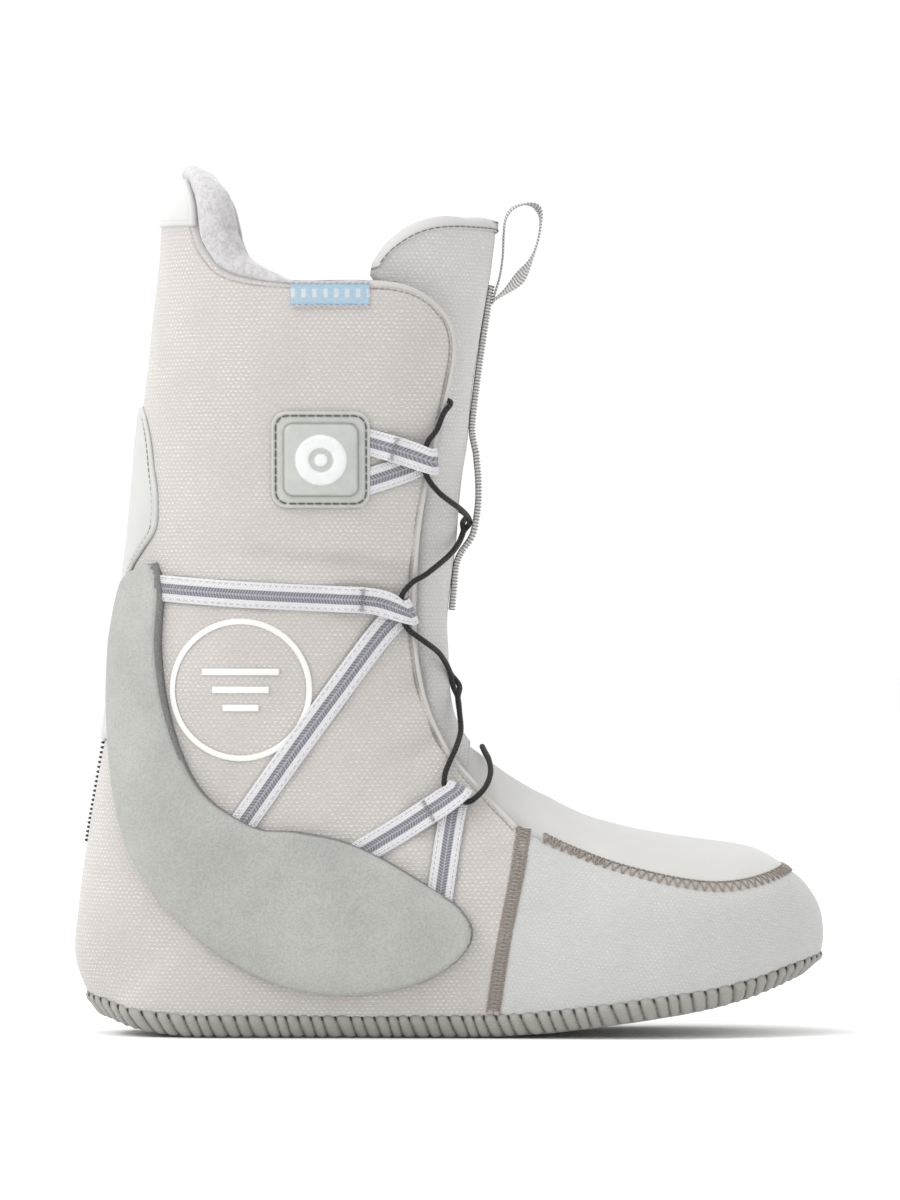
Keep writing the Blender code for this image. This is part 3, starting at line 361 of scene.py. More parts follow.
def base(section, angle, side):
    """Points of the shell itself."""
    section, angle = np.broadcast_arrays(section, angle)
    front_x, front_z, back_x, back_z, half, sole, middle = np.moveaxis(
        smooth_at(STATIONS, section), -1, 0)
    along = -np.cos(angle)
    bulge = np.maximum(0.0, 1 - np.abs(along) ** ROUNDNESS) ** (1 / ROUNDNESS)
    width = np.where(along < 0, half * bulge, sole + (half - sole) * bulge)
    reach = (1 + along) / 2
    x = front_x + (back_x - front_x) * reach
    z = front_z + (back_z - front_z) * reach
    return np.stack([x, middle + side * width, z], -1)


def normal(section, angle, side):
    """Outward directions of the shell, carried smoothly over its front and back lines."""
    step = 0.06
    section, angle = np.broadcast_arrays(np.asarray(section, float), np.asarray(angle, float))
    before, after = angle - step, angle + step
    near = base(section, np.abs(before), np.where(before < 0, -side, side))
    far_angle = np.where(after > math.pi, 2 * math.pi - after, after)
    far = base(section, far_angle, np.where(after > math.pi, -side, side))
    low = np.clip(section - 0.1, 0.3, len(STATIONS) - 1.2)
    upward = base(low + 0.2, angle, side) - base(low, angle, side)
    return unit(np.cross(far - near, upward) * side)


def shell(section, angle, side, lift=0.0):
    """Points of the shell raised along its outward directions."""
    raised = np.asarray(lift, float)[..., None]
    return base(section, angle, side) + normal(section, angle, side) * raised


FINE = np.arange(0.5, len(STATIONS) - 1.01, 0.02)
FINE_ROWS = smooth_at(STATIONS, FINE)


def find(x, z):
    """Section, share from front to back, and how far outside the section, of side view points."""
    front_x, front_z, back_x, back_z = FINE_ROWS.T[:4]
    run_x, run_z = back_x - front_x, back_z - front_z
    found = []
    for px, pz in zip(np.array_split(x, len(x) // 400 + 1), np.array_split(z, len(z) // 400 + 1)):
        off_x, off_z = px[:, None] - front_x, pz[:, None] - front_z
        miss = run_x * off_z - run_z * off_x
        reach = (off_x * run_x + off_z * run_z) / (run_x**2 + run_z**2)
        crossing = miss[:, :-1] * miss[:, 1:] <= 0
        outside = np.maximum(np.maximum(-reach, reach - 1), 0.0)[:, :-1]
        best = np.argmin(np.where(crossing, outside, 9.0), axis=1)
        rows = np.arange(len(px))
        first, second = miss[rows, best], miss[rows, best + 1]
        part = first / np.where(first == second, 1.0, first - second)
        share = reach[rows, best] + (reach[rows, best + 1] - reach[rows, best]) * part
        found.append(np.stack([FINE[best] + 0.02 * part, share]))
    section, share = np.concatenate(found, axis=1)
    return section, share, np.maximum(np.maximum(-share, share - 1), 0.0)


def locate(x, z):
    """Section numbers and angles of the places that the side view shows at x and z."""
    x, z = np.broadcast_arrays(np.asarray(x, float), np.asarray(z, float))
    section, share, _ = find(x.ravel(), z.ravel())
    angle = np.arccos(1 - 2 * np.clip(share, 0, 1))
    return section.reshape(x.shape), angle.reshape(x.shape)


def places(rows):
    """Section and angle of each row of a line drawn in the side view."""
    return np.stack(locate(rows[:, 0], rows[:, 1]), 1)


def front_line(section):
    """Places on the front line of the shell."""
    return np.stack([section, section * 0], 1)


def back_line(section):
    """Places on the back line of the shell."""
    return np.stack([section, section * 0 + math.pi], 1)


def on_shell(x, z, side, lift=0.0):
    """Points and outward directions of the shell where the side view shows x and z."""
    section, angle = locate(x, z)
    return shell(section, angle, side, lift), normal(section, angle, side)


def drawn_line(rows, count, side, lift=0.0):
    """Points and outward directions along a line that is drawn in the side view."""
    line = evenly(rows, count)
    return on_shell(line[:, 0], line[:, 1], side, lift)


def halve(keeps_going, low, high, shape):
    """Values between low and high up to which keeps_going is true."""
    low = np.full(shape, float(low))
    high = np.full(shape, float(high))
    for _ in range(24):
        middle = (low + high) / 2
        good = keeps_going(middle)
        low = np.where(good, middle, low)
        high = np.where(good, high, middle)
    return low


UNDERSIDE = smooth_at(STATIONS, np.linspace(SOLE_END + 1, SOLE_START, 400))[:, 2:4]


def sole_height(x):
    """Height of the underside at x."""
    return np.maximum(np.interp(np.clip(x, -138, 138), UNDERSIDE[:, 0], UNDERSIDE[:, 1]), 0.0)


def welt_angle(section, height):
    """Angle where each section is this high over the underside, or pi where it stays higher."""
    section = np.asarray(section, float)

    def above(angle):
        point = base(section, angle, MEDIAL)
        return point[..., 2] > sole_height(point[..., 0]) + height

    found = halve(above, 0.5 * math.pi, math.pi, section.shape)
    back = base(section, math.pi, MEDIAL)[..., 2]
    heel = (section > 12) & (back > sole_height(-138.0) + height)
    toe = (section < 3) & (back > 22.5 + height)
    return np.where(heel | toe, math.pi, found)


def line_angle(rows, section):
    """Angle at which a line drawn in the side view crosses each section."""
    section = np.asarray(section, float)

    def place(row):
        points = smooth_at(rows, row)
        return locate(points[..., 0], points[..., 1])

    row = halve(lambda row: place(row)[0] < section, 0, len(rows) - 1, section.shape)
    return place(row)[1]


def rear_angle(section, reach):
    """Angle on the rear half of each section where the shell is reach mm to the side."""
    return halve(lambda angle: base(section, angle, MEDIAL)[..., 1] > reach, 0.5 * math.pi,
                 math.pi, np.shape(section))


def tongue_angle(section):
    """Angle where the tongue's side edge lies below its wings."""
    flap_angle = np.minimum(line_angle(QUARTER_EDGE, section), 2.0)
    flap = shell(section, flap_angle, MEDIAL, LINING_LIFT - LINING_THICK)[..., 1]
    reach = np.minimum(TONGUE_HALF, flap - TONGUE_ROOM)
    return halve(lambda angle: shell(section, angle, MEDIAL, TONGUE_LIFT)[..., 1] < reach,
                 0.02, 1.5, np.shape(section))


# Mesh building

def spread(count, ends=2):
    """Shares from 0 to 1 that lie closer together at both ends, or at the start only."""
    share = np.linspace(0, 1, count)
    if ends == 2:
        return 0.35 * share + 0.65 * (1 - np.cos(math.pi * share)) / 2
    return 0.25 * share + 0.75 * (1 - np.cos(math.pi / 2 * share))


def grid_between(start, end, side, shares):
    """Points and directions of the shell between two lines of places (section, angle)."""
    section = start[:, :1] + (end[:, :1] - start[:, :1]) * shares
    angle = start[:, 1:] + (end[:, 1:] - start[:, 1:]) * shares
    return base(section, angle, side), normal(section, angle, side)


def drawn_grid(lower, upper, side, shares):
    """Points and directions between two lines drawn in the side view."""
    points = lower[:, None, :2] + (upper - lower)[:, None, :2] * shares[:, None]
    return on_shell(points[..., 0], points[..., 1], side)


def cloth_map(points, normals, up):
    """Flat coordinates in mm of a grid, measured level and square to level, from its middle."""
    level = unit(np.cross(np.array(up, float), normals))
    rise = np.cross(normals, level)
    flat = np.zeros(points.shape[:2] + (2,))
    middle = points.shape[1] // 2

    def step(a, b):
        move = points[b] - points[a]
        sideways = (move * (level[a] + level[b]) / 2).sum(-1)
        return np.stack([sideways, (move * (rise[a] + rise[b]) / 2).sum(-1)], -1)

    for i in range(1, points.shape[0]):
        flat[i, middle] = flat[i - 1, middle] + step((i - 1, middle), (i, middle))
    for j in range(middle + 1, points.shape[1]):
        flat[:, j] = flat[:, j - 1] + step((slice(None), j - 1), (slice(None), j))
    for j in range(middle - 1, -1, -1):
        flat[:, j] = flat[:, j + 1] + step((slice(None), j + 1), (slice(None), j))
    return flat


def weld(grids, up):
    """Points, directions, faces and flat coordinates of grids, joined where their points meet."""
    points = np.concatenate([p.reshape(-1, 3) for p, _ in grids])
    normals = np.concatenate([n.reshape(-1, 3) for _, n in grids])
    flats = np.concatenate([cloth_map(p, n, up).reshape(-1, 2) for p, n in grids])
    _, first, index = np.unique(
        np.round(points / 0.01).astype(int), axis=0, return_index=True, return_inverse=True)
    index = index.ravel()
    faces, corner_flats = [], []
    offset = 0
    for p, _ in grids:
        numbers = offset + np.arange(p.shape[0] * p.shape[1]).reshape(p.shape[:2])
        offset += numbers.size
        quads = np.stack(
            [numbers[:-1, :-1], numbers[:-1, 1:], numbers[1:, 1:], numbers[1:, :-1]], -1)
        for quad in quads.reshape(-1, 4):
            corners = [k for n, k in enumerate(quad) if index[k] != index[quad[n - 1]]]
            if len({int(index[k]) for k in corners}) < 3:
                continue
            a, b, c = (points[corners[n]] for n in (0, 1, 2))
            d = points[corners[-1]]
            if np.dot(np.cross(c - a, d - b), normals[corners[0]] + normals[corners[2]]) < 0:
                corners.reverse()
            faces.append([int(index[k]) for k in corners])
            corner_flats.append([flats[k] for k in corners])
    return points[first], normals[first], flats[first], faces, corner_flats


def distance(points, line):
    """Distance in mm from each point to a line or several lines of points."""
    lines = line if isinstance(line, list) else [line]
    samples = []
    for part in lines:
        count = int(run_along(part)[-1] / 0.4) + 2
        samples.append(part)
        samples.append(resample(part, count))
    samples = np.concatenate(samples)
    tree = kdtree.KDTree(len(samples))
    for i, sample in enumerate(samples):
        tree.insert(sample, i)
    tree.balance()
    return np.array([tree.find(point)[2] for point in points])


def soft_noise(points, size, shift=0.0):
    """Smooth noise from -1 to 1 whose lumps are about size mm wide."""
    return np.array([noise.noise(Vector(p / size) + Vector((shift, 0, 0))) for p in points])


def build(name, points, faces, flats, looks, slots=None, tone=None):
    """Mesh object from points in mm, faces and the flat coordinates of their corners."""
    mesh = bpy.data.meshes.new(name)
    mesh.from_pydata((np.asarray(points) * MM).tolist(), [], faces)
    for look in looks:
        mesh.materials.append(look)
    layer = mesh.uv_layers.new(name="cloth")
    layer.data.foreach_set("uv", np.array(flats, np.float32).ravel())
    if slots is not None:
        mesh.polygons.foreach_set("material_index", np.array(slots, np.int32))
    if tone is not None:
        attribute = mesh.attributes.new("tone", "FLOAT", "POINT")
        attribute.data.foreach_set("value", np.asarray(tone, np.float32))
    mesh.shade_smooth()
    made = bpy.data.objects.new(name + "_piece", mesh)
    bpy.context.scene.collection.objects.link(made)
    return made


def close_pad(faces, corner_flats, flat, full):
    """Faces of a pad's top, underside and rim, and the flat coordinates of their corners."""
    used = dict.fromkeys((a, b) for face in faces for a, b in zip(face, face[1:] + face[:1]))
    rim = [(a, b) for a, b in used if (b, a) not in used]
    shared = {v for edge in rim for v in edge if full[v] < 0.05}
    under = [v if v in shared else v + len(flat) for v in range(len(flat))]
    closed = list(faces)
    corners = [corner for face in corner_flats for corner in face]
    for face in faces:
        closed.append([under[v] for v in reversed(face)])
        corners += [flat[v] for v in reversed(face)]
    for a, b in rim:
        apart = [v for v in (a, b) if v not in shared]
        if apart:
            closed.append([b, a] + [under[v] for v in apart])
            corners += [flat[v] for v in (b, a, *apart)]
    return closed, corners


def pad(name, grids, low, high, looks, edges=None, radius=3.0, relief=None, meet=None,
        up=(0, 0, 1), tone=None, swell=None):
    """Padded piece between two heights over its grids, rounded along its free edges.

    relief gives the height of grooves and lumps, and its grooves get painted shade through the tone
    unless tone is given.
    swell is the height, size and shift of soft lumps that darken nothing.
    """
    points, normals, flat, faces, corner_flats = weld(grids, up)
    gap = np.full(len(points), 99.0) if edges is None else distance(points, edges)
    full = np.sqrt(1 - (1 - np.minimum(gap, radius) / radius) ** 2)
    meet = (low + high) / 2 if meet is None else meet
    rise = relief(points, gap) if relief else np.zeros(len(points))
    lumps = swell[0] * soft_noise(points, *swell[1:]) if swell else 0.0
    top = points + normals * (meet + (high - meet + rise + lumps) * full)[:, None]
    bottom = points + normals * (meet + (low - meet) * full)[:, None]
    # Painted shade: the relief's grooves and dents, below zero, darken the colour through the tone.
    shade = np.minimum(rise, 0) if tone is None else tone(points, gap)
    closed, corners = close_pad(faces, corner_flats, flat, full)
    last = len(looks) - 1
    slots = [0 if full[face].mean() > 0.8 else last for face in faces]
    slots += [last] * (len(closed) - len(faces))
    keep = sorted({v for face in closed for v in face})
    place = {v: i for i, v in enumerate(keep)}
    closed = [[place[v] for v in face] for face in closed]
    return build(name, np.concatenate([top, bottom])[keep], closed, corners, looks, slots,
                 np.concatenate([shade, shade])[keep])


def rings_mesh(name, rings, flats, look, closed=False):
    """Closed body through rings of points; flats holds each point's flat coordinates."""
    count, around = rings.shape[:2]
    numbers = np.arange(count * around).reshape(count, around)
    faces = []
    last = count if closed else count - 1
    for i in range(last):
        near, far = numbers[i], numbers[(i + 1) % count]
        for j in range(around):
            k = (j + 1) % around
            faces.append([int(near[k]), int(near[j]), int(far[j]), int(far[k])])
    if not closed:
        faces.append([int(v) for v in numbers[0]])
        faces.append([int(v) for v in numbers[-1][::-1]])
    flat = flats.reshape(-1, 2)
    corners = [flat[v] for face in faces for v in face]
    points = rings.reshape(-1, 3)
    return build(name, points, outward(points, faces), corners, [look])


def outward(points, faces):
    """Faces turned so that a closed body's volume is positive."""
    volume = 0.0
    centre = points.mean(0)
    for face in faces:
        a = points[face[0]] - centre
        for m, n in zip(face[1:], face[2:]):
            volume += np.dot(a, np.cross(points[m] - centre, points[n] - centre))
    if volume < 0:
        return [face[::-1] for face in faces]
    return faces


def flat_profile(width, low, high, count=16):
    """Profile of a flat band with rounded sides: (across, height) pairs going round."""
    turn = turns(count)
    across = squarer(np.cos(turn), 0.45) * width / 2
    height = squarer(np.sin(turn), 0.7) * (high - low) / 2
    return np.stack([across, (low + high) / 2 + height], 1)


def directions(path, closed=False):
    """Direction of a line at each of its points."""
    if closed:
        return unit(np.roll(path, -1, 0) - np.roll(path, 1, 0))
    return unit(np.gradient(path, axis=0))


def band(name, path, ups, profile, look, closed=False):
    """Closed body swept along a line; profile is one shape, or one for each point."""
    profile = np.broadcast_to(profile, (len(path),) + np.shape(profile)[-2:])
    along = directions(path, closed)
    across = unit(np.cross(along, ups))
    over = unit(np.cross(across, along))
    rings = path[:, None] + across[:, None] * profile[..., :1] + over[:, None] * profile[..., 1:]
    run = np.broadcast_to(run_along(path)[:, None], profile.shape[:2])
    return rings_mesh(name, rings, np.stack([run, profile[..., 0]], -1), look, closed)


def threads(name, paths, radius, look, sides=6):
    """One piece made of many thin threads, each along its own line."""
    points, faces, flats = [], [], []
    for path in paths:
        along = directions(path)
        frame_x = unit(np.cross(along[0], (0.31, 0.52, 0.79)))
        start = len(points)
        for i, point in enumerate(path):
            frame_x = unit(frame_x - along[i] * np.dot(frame_x, along[i]))
            frame_y = np.cross(along[i], frame_x)
            for turn in turns(sides):
                points.append(point + (frame_x * math.cos(turn) + frame_y * math.sin(turn)) * radius)
        for i in range(len(path) - 1):
            for j in range(sides):
                k = (j + 1) % sides
                a = start + i * sides
                faces.append([a + j, a + k, a + sides + k, a + sides + j])
                flats += [(i, j), (i, j + 1), (i + 1, j + 1), (i + 1, j)]
        faces.append([start + j for j in reversed(range(sides))])
        flats += [(0, j) for j in range(sides)]
        faces.append([start + (len(path) - 1) * sides + j for j in range(sides)])
        flats += [(1, j) for j in range(sides)]
    return build(name, np.array(points), faces, flats, [look])


def walk(path, ups, spots):
    """Points and directions at distances along a line."""
    run = run_along(path)
    point = np.stack([np.interp(spots, run, column) for column in path.T], 1)
    up = np.stack([np.interp(spots, run, column) for column in ups.T], 1)
    return point, unit(up)


def stitch_line(path, ups, length, gap, lift=0.3, dip=0.35):
    """Lines of single stitches along a line, each dipping into the cloth at its ends."""
    total = run_along(path)[-1]
    count = int((total - gap) / (length + gap))
    lines = []
    for i in range(count):
        start = gap + i * (total - gap) / count
        point, up = walk(path, ups, start + length * np.array([0, 0.15, 0.5, 0.85, 1]))
        height = np.array([lift - dip, lift, lift * 1.25, lift, lift - dip])
        lines.append(point + up * height[:, None])
    return lines


def zigzag(path, ups, half, pitch, lift):
    """Line that crosses to and fro over a seam, with a small loop at each turn."""
    total = run_along(path)[-1]
    count = int(total / pitch * 2)
    shares = np.array([0.0, 0.12, 0.5, 0.88])
    spots, sideways, heights = [], [], []
    for i in range(count):
        sign = 1 if i % 2 else -1
        spots += list((i + shares * 0.85) * pitch / 2)
        sideways += list(np.array([sign, sign * 0.95, 0, -sign * 0.95]) * half)
        heights += [lift - 0.25, lift, lift + 0.2, lift]
    point, up = walk(path, ups, np.clip(spots, 0, total))
    along = directions(walk(path, ups, np.clip(np.array(spots), 0.2, total - 0.2))[0])
    smooth_along = unit(np.stack([np.convolve(c, np.ones(9) / 9, "same") for c in along.T], 1))
    across = unit(np.cross(smooth_along, up))
    return point + across * np.array(sideways)[:, None] + up * np.array(heights)[:, None]


# Materials

def paint(red, green, blue):
    """Linear colour from screen values of 0 to 255."""
    linear = []
    for value in (red, green, blue):
        share = value / 255
        linear.append(share / 12.92 if share <= 0.04045 else ((share + 0.055) / 1.055) ** 2.4)
    return (*(value * ALBEDO for value in linear), 1.0)


class Look:
    """One node material, built up from a Principled shader."""

    def __init__(self, name, roughness, sheen=0.0, coat=0.0):
        self.material = bpy.data.materials.new(name)
        self.material.use_nodes = True
        tree = self.material.node_tree
        self.nodes = tree.nodes
        self.links = tree.links
        self.shader = tree.nodes["Principled BSDF"]
        self.shader.inputs["Roughness"].default_value = roughness
        self.shader.inputs["Sheen Weight"].default_value = sheen
        self.shader.inputs["Sheen Roughness"].default_value = 0.45
        self.shader.inputs["Coat Weight"].default_value = coat
        self.shader.inputs["Specular IOR Level"].default_value = 0.3
        self.cloth = self.add("UVMap", {}, uv_map="cloth").outputs[0]
        self.place = self.add("TexCoord", {}).outputs["Object"]

    def add(self, kind, inputs, **settings):
        """New node with its settings, and its inputs set or linked."""
        made = self.nodes.new("ShaderNode" + kind)
        for key, value in settings.items():
            setattr(made, key, value)
        for key, value in inputs.items():
            if isinstance(value, bpy.types.NodeSocket):
                self.links.new(value, made.inputs[key])
            else:
                made.inputs[key].default_value = value
        return made

    def math(self, operation, first, second=0.0):
        return self.add("Math", {0: first, 1: second}, operation=operation).outputs[0]

    def plus(self, first, second):
        return self.math("ADD", first, second)

    def times(self, first, second):
        return self.math("MULTIPLY", first, second)

    def blend(self, first, share, second, other_share):
        """Sum of two values, each times its share."""
        return self.plus(self.times(first, share), self.times(second, other_share))

    def off(self, value, middle):
        """How far a value is from middle."""
        return self.math("ABSOLUTE", self.math("SUBTRACT", value, middle))

    def wave(self, where, period):
        """Sine of a place in mm that repeats after period mm."""
        return self.math("SINE", self.times(where, 2 * math.pi / period))

    def noise(self, where, scale, detail=3.0):
        made = self.add("TexNoise", {"Vector": where, "Scale": scale, "Detail": detail})
        return made.outputs[0]

    def cells(self, where, scale):
        made = self.add("TexVoronoi", {"Vector": where, "Scale": scale, "Randomness": 1.0})
        return made.outputs["Distance"]

    def stretched(self, where, scale):
        return self.add("Mapping", {0: where, 3: scale}).outputs[0]

    def spread(self, value, start, end, low=0.0, high=1.0):
        """Value moved from start..end to low..high."""
        inputs = {0: value, 1: start, 2: end, 3: low, 4: high}
        return self.add("MapRange", inputs, interpolation_type="SMOOTHSTEP").outputs[0]

    def mix(self, share, first, second, blend="MIX"):
        made = self.add("Mix", {0: share, 6: first, 7: second}, data_type="RGBA", blend_type=blend)
        return made.outputs[2]

    def split(self, where=None):
        """Flat coordinates along and across, in mm."""
        parts = self.add("SeparateXYZ", {0: self.cloth if where is None else where})
        return parts.outputs[0], parts.outputs[1]

    def dim(self, colour, value):
        """Colour times a grey value."""
        tint = self.add("CombineColor", {0: value, 1: value, 2: value}).outputs[0]
        return self.mix(1.0, colour, tint, "MULTIPLY")

    def shade(self, colour, amount, where=None, scale=30.0):
        """Colour made uneven by soft blotches of plus or minus amount."""
        value = self.noise(self.place if where is None else where, scale)
        return self.dim(colour, self.spread(value, 0.3, 0.7, 1 - amount, 1 + amount))

    def tone(self):
        """The mesh's tone: below zero in grooves and crevices, where it sets painted shade, above it
        where the surface is raised.
        """
        return self.add("Attribute", {}, attribute_name="tone").outputs["Fac"]

    def shade_grooves(self, colour, dark):
        """Colour with painted shade in grooves, where the tone is below zero."""
        return self.mix(self.spread(self.tone(), 0.0, -1.0, 0.0, 0.7), colour, dark)

    def done(self, colour, height=None, depth=0.2, strength=0.7):
        """Connects the colour, and the height in shares of depth mm."""
        self.links.new(colour, self.shader.inputs["Base Color"])
        if height is not None:
            bump = self.add("Bump", {"Strength": strength, "Distance": depth * MM, "Height": height})
            self.links.new(bump.outputs[0], self.shader.inputs["Normal"])
        return self.material


def dash_weave(name, ground, dash, pitch, row, contrast=1.0, turn=0.0):
    """Knitted spacer mesh: rows of short raised dashes, each row offset by half a dash."""
    look = Look(name, 0.88, sheen=0.25)
    where = look.add("Mapping", {0: look.cloth, 2: (0, 0, turn)}).outputs[0]
    along, across = look.split(where)
    wobble = look.spread(look.noise(where, 0.4), 0.3, 0.7, -0.15, 0.15)
    level = look.plus(look.math("DIVIDE", across, row), wobble)
    shift = look.times(look.math("FLOOR", level), 0.5)
    run = look.plus(look.math("DIVIDE", along, pitch), shift)
    aside = look.off(look.math("FRACT", run), 0.5)
    above = look.off(look.math("FRACT", level), 0.5)
    raised = look.times(look.spread(aside, 0.36, 0.2), look.spread(above, 0.27, 0.08))
    fibre = look.noise(where, 2.2, 4.0)
    yarn = look.noise(look.stretched(where, (0.25, 3.0, 1.0)), 1.0, 2.0)
    patchy = look.spread(look.noise(where, 0.05), 0.35, 0.65, contrast * 0.6, contrast)
    colour = look.mix(look.times(raised, patchy), ground, dash)
    colour = look.dim(colour, look.spread(look.plus(fibre, yarn), 0.6, 1.4, 0.93, 1.06))
    # Painted shade in the relief's grooves and dents, in a dark brownish grey.
    colour = look.shade_grooves(look.shade(colour, 0.015), paint(138, 130, 124))
    return look.done(colour, look.blend(raised, 0.8, yarn, 0.6), 0.35)


def plain_cloth(name, colour, grain, depth, roughness=0.8, sheen=0.2, dark=(120, 118, 114)):
    """Smooth stretch cloth or thin coated cloth with a fine even grain of grain mm; dark is the colour
    of the painted shade in its grooves.
    """
    look = Look(name, roughness, sheen)
    fine = look.noise(look.stretched(look.cloth, (0.6, 1.6, 1.0)), 1 / grain, 4.0)
    along, across = look.split()
    knit = look.wave(across, grain * 1.8)
    rib = look.wave(along, grain * 1.4)
    height = look.plus(fine, look.times(look.times(knit, rib), 0.25))
    tinted = look.mix(look.spread(fine, 0.3, 0.7, 0.0, 0.14), colour, paint(255, 255, 255))
    # Painted shade: dark is mixed in where the relief's grooves sink.
    tinted = look.shade_grooves(look.shade(tinted, 0.03), paint(*dark))
    return look.done(tinted, height, depth)


def speckled_foam(name, light, speck, depth=0.22):
    """Closed-cell foam: small mottled specks of two greys over soft blotches."""
    look = Look(name, 0.78, sheen=0.1)
    grain = look.noise(look.place, 1300.0, 4.0)
    mottle = look.blend(grain, 0.85, look.noise(look.place, 260.0), 0.15)
    colour = look.shade(look.mix(look.spread(mottle, 0.42, 0.6), light, speck), 0.09, scale=26.0)
    return look.done(colour, look.plus(look.cells(look.place, 900.0), grain), depth)


def webbing_look(name, white, stripe, half_stripe):
    """Narrow woven tape: pale selvedges and a double dark line down its middle."""
    look = Look(name, 0.75, sheen=0.3)
    along, across = look.split()
    away = look.math("ABSOLUTE", across)
    rows = look.spread(look.off(away, half_stripe), half_stripe * 0.98, half_stripe * 0.6)
    filling = look.spread(away, half_stripe * 1.5, half_stripe, 0.0, 0.72)
    weave = look.math("SINE", look.blend(along, 2 * math.pi / 1.15, away, 2.6))
    dashed = look.times(look.math("MAXIMUM", rows, filling), look.spread(weave, -0.9, 0.3, 0.68))
    warp = look.wave(across, 0.85)
    fuzz = look.noise(look.cloth, 2.6, 4.0)
    pale = look.mix(look.spread(warp, -1.0, 0.4, 0.22, 0.0), white, paint(196, 194, 204))
    pale = look.mix(look.spread(fuzz, 0.35, 0.7, 0.0, 0.2), pale, paint(206, 205, 212))
    edge = look.spread(look.off(away, 3.9), 0.32, 0.1, 0.0, 0.6)
    stitches = look.times(edge, look.spread(look.wave(along, 2.1), -0.3, 0.3))
    pale = look.mix(stitches, pale, paint(150, 148, 158))
    colour = look.mix(dashed, pale, look.shade(stripe, 0.12, look.cloth, 1.5))
    return look.done(colour, look.blend(weave, 0.5, warp, 0.5), 0.28, 0.8)


def rib_look(name, pale, dark):
    """Ribbed tape: dark slanting grooves between pale ribs."""
    look = Look(name, 0.7, sheen=0.3)
    along, across = look.split()
    away = look.math("ABSOLUTE", across)
    wave = look.math("SINE", look.blend(along, 2 * math.pi / RIB_PITCH, away, 0.5))
    colour = look.mix(look.spread(wave, -0.9, 0.2), dark, pale)
    return look.done(look.shade(colour, 0.08, look.cloth, 1.5), wave, 0.25, 0.8)


def fleece_look(name, colour, dark):
    """Brushed fleece: soft tufts with darker gaps between them."""
    look = Look(name, 0.95, sheen=0.7)
    tufts = look.noise(look.place, 900.0, 5.0)
    both = look.blend(tufts, 0.6, look.noise(look.place, 260.0), 0.4)
    mixed = look.mix(look.spread(both, 0.38, 0.58), dark, colour)
    return look.done(look.shade(mixed, 0.05), both, 0.5, 0.8)


def braid_look(name, colour, light, pitch):
    """Round braided cord: two sets of crossing strands."""
    look = Look(name, 0.6, sheen=0.03)
    along, around = look.split()
    strands = [
        look.math("SINE", look.times(look.math(operation, along, around), pitch))
        for operation in ("ADD", "SUBTRACT")
    ]
    height = look.math("MAXIMUM", *strands)
    colour = look.mix(look.spread(height, 0.0, 1.0), colour, light)
    return look.done(look.shade(colour, 0.1, look.cloth, 1.0), height, 0.2, 0.9)


def thread_look(name, colour):
    """Twisted sewing thread."""
    look = Look(name, 0.5, sheen=0.2)
    along, around = look.split()
    twist = look.math("SINE", look.blend(along, 5.0, around, 2.0))
    darker = look.mix(1.0, colour, (0.72, 0.72, 0.72, 1), "MULTIPLY")
    return look.done(look.mix(look.spread(twist, -1.0, 1.0), darker, colour), twist, 0.08)


def leather_look(name, colour, raised, roughness):
    """Fine-grained coated patch, paler where the surface is embossed, with painted shade where the tone
    is below zero.
    """
    look = Look(name, roughness, coat=0.15)
    tone = look.tone()
    mixed = look.mix(look.spread(tone, 0.05, 0.5), colour, raised)
    # Painted shade where the tone is below zero: the stitch groove and the cushion's foot.
    mixed = look.mix(look.spread(tone, 0.0, -0.6, 0.0, 0.6), mixed, paint(120, 124, 116))
    height = look.plus(look.cells(look.cloth, 1.6), look.noise(look.cloth, 1.1, 4.0))
    return look.done(look.shade(mixed, 0.04, look.cloth, 0.2), height, 0.12)


def label_look(name):
    """Light blue woven label: fine ribs and a row of plain paler dashes along its middle."""
    look = Look(name, 0.7, sheen=0.4)
    along, across = look.split()
    ribs, rows = look.wave(along, 0.5), look.wave(across, 0.6)
    middle = look.spread(look.math("ABSOLUTE", across), 2.0, 1.4)
    dashes = look.times(look.spread(look.wave(along, 4.2), 0.1, 0.5, 0.0, 0.75), middle)
    colour = look.mix(dashes, paint(194, 221, 239), paint(244, 249, 252))
    colour = look.mix(look.spread(ribs, -1.0, 1.0, 0.12, 0.0), colour, paint(120, 165, 200))
    return look.done(look.shade(colour, 0.05, look.cloth, 0.6), look.plus(ribs, rows), 0.15)


# Pieces

def settle(piece, body, slot, *nodes):
    """Rides on a body if one is given and hides the CAD nodes that it stands for; slot is not used."""
    if body:
        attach(piece, body)
    if nodes:
        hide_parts(*nodes)
    return piece


def sew(name, lines, radius, look, *nodes, body="root"):
    """Threads that ride on a body."""
    settle(threads(name, lines, radius, look), body, "seam_thread", *nodes)


def hang(piece, slot, *nodes):
    """Piece on no body, with its transform baked into its mesh; it hides the CAD nodes that it stands
    for.
    """
    settle(piece, None, slot, *nodes)
    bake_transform(piece)


def both_sides(start, end, shares):
    """The same grid on the lateral and on the medial side."""
    return [grid_between(start, end, side, shares) for side in SIDES.values()]


def free_ends(grids):
    """Lines across the whole piece at the first and the last rows of two mirrored grids."""
    left, right = grids[0][0], grids[1][0]
    return [np.concatenate([left[i], right[i][::-1]]) for i in (0, -1)]


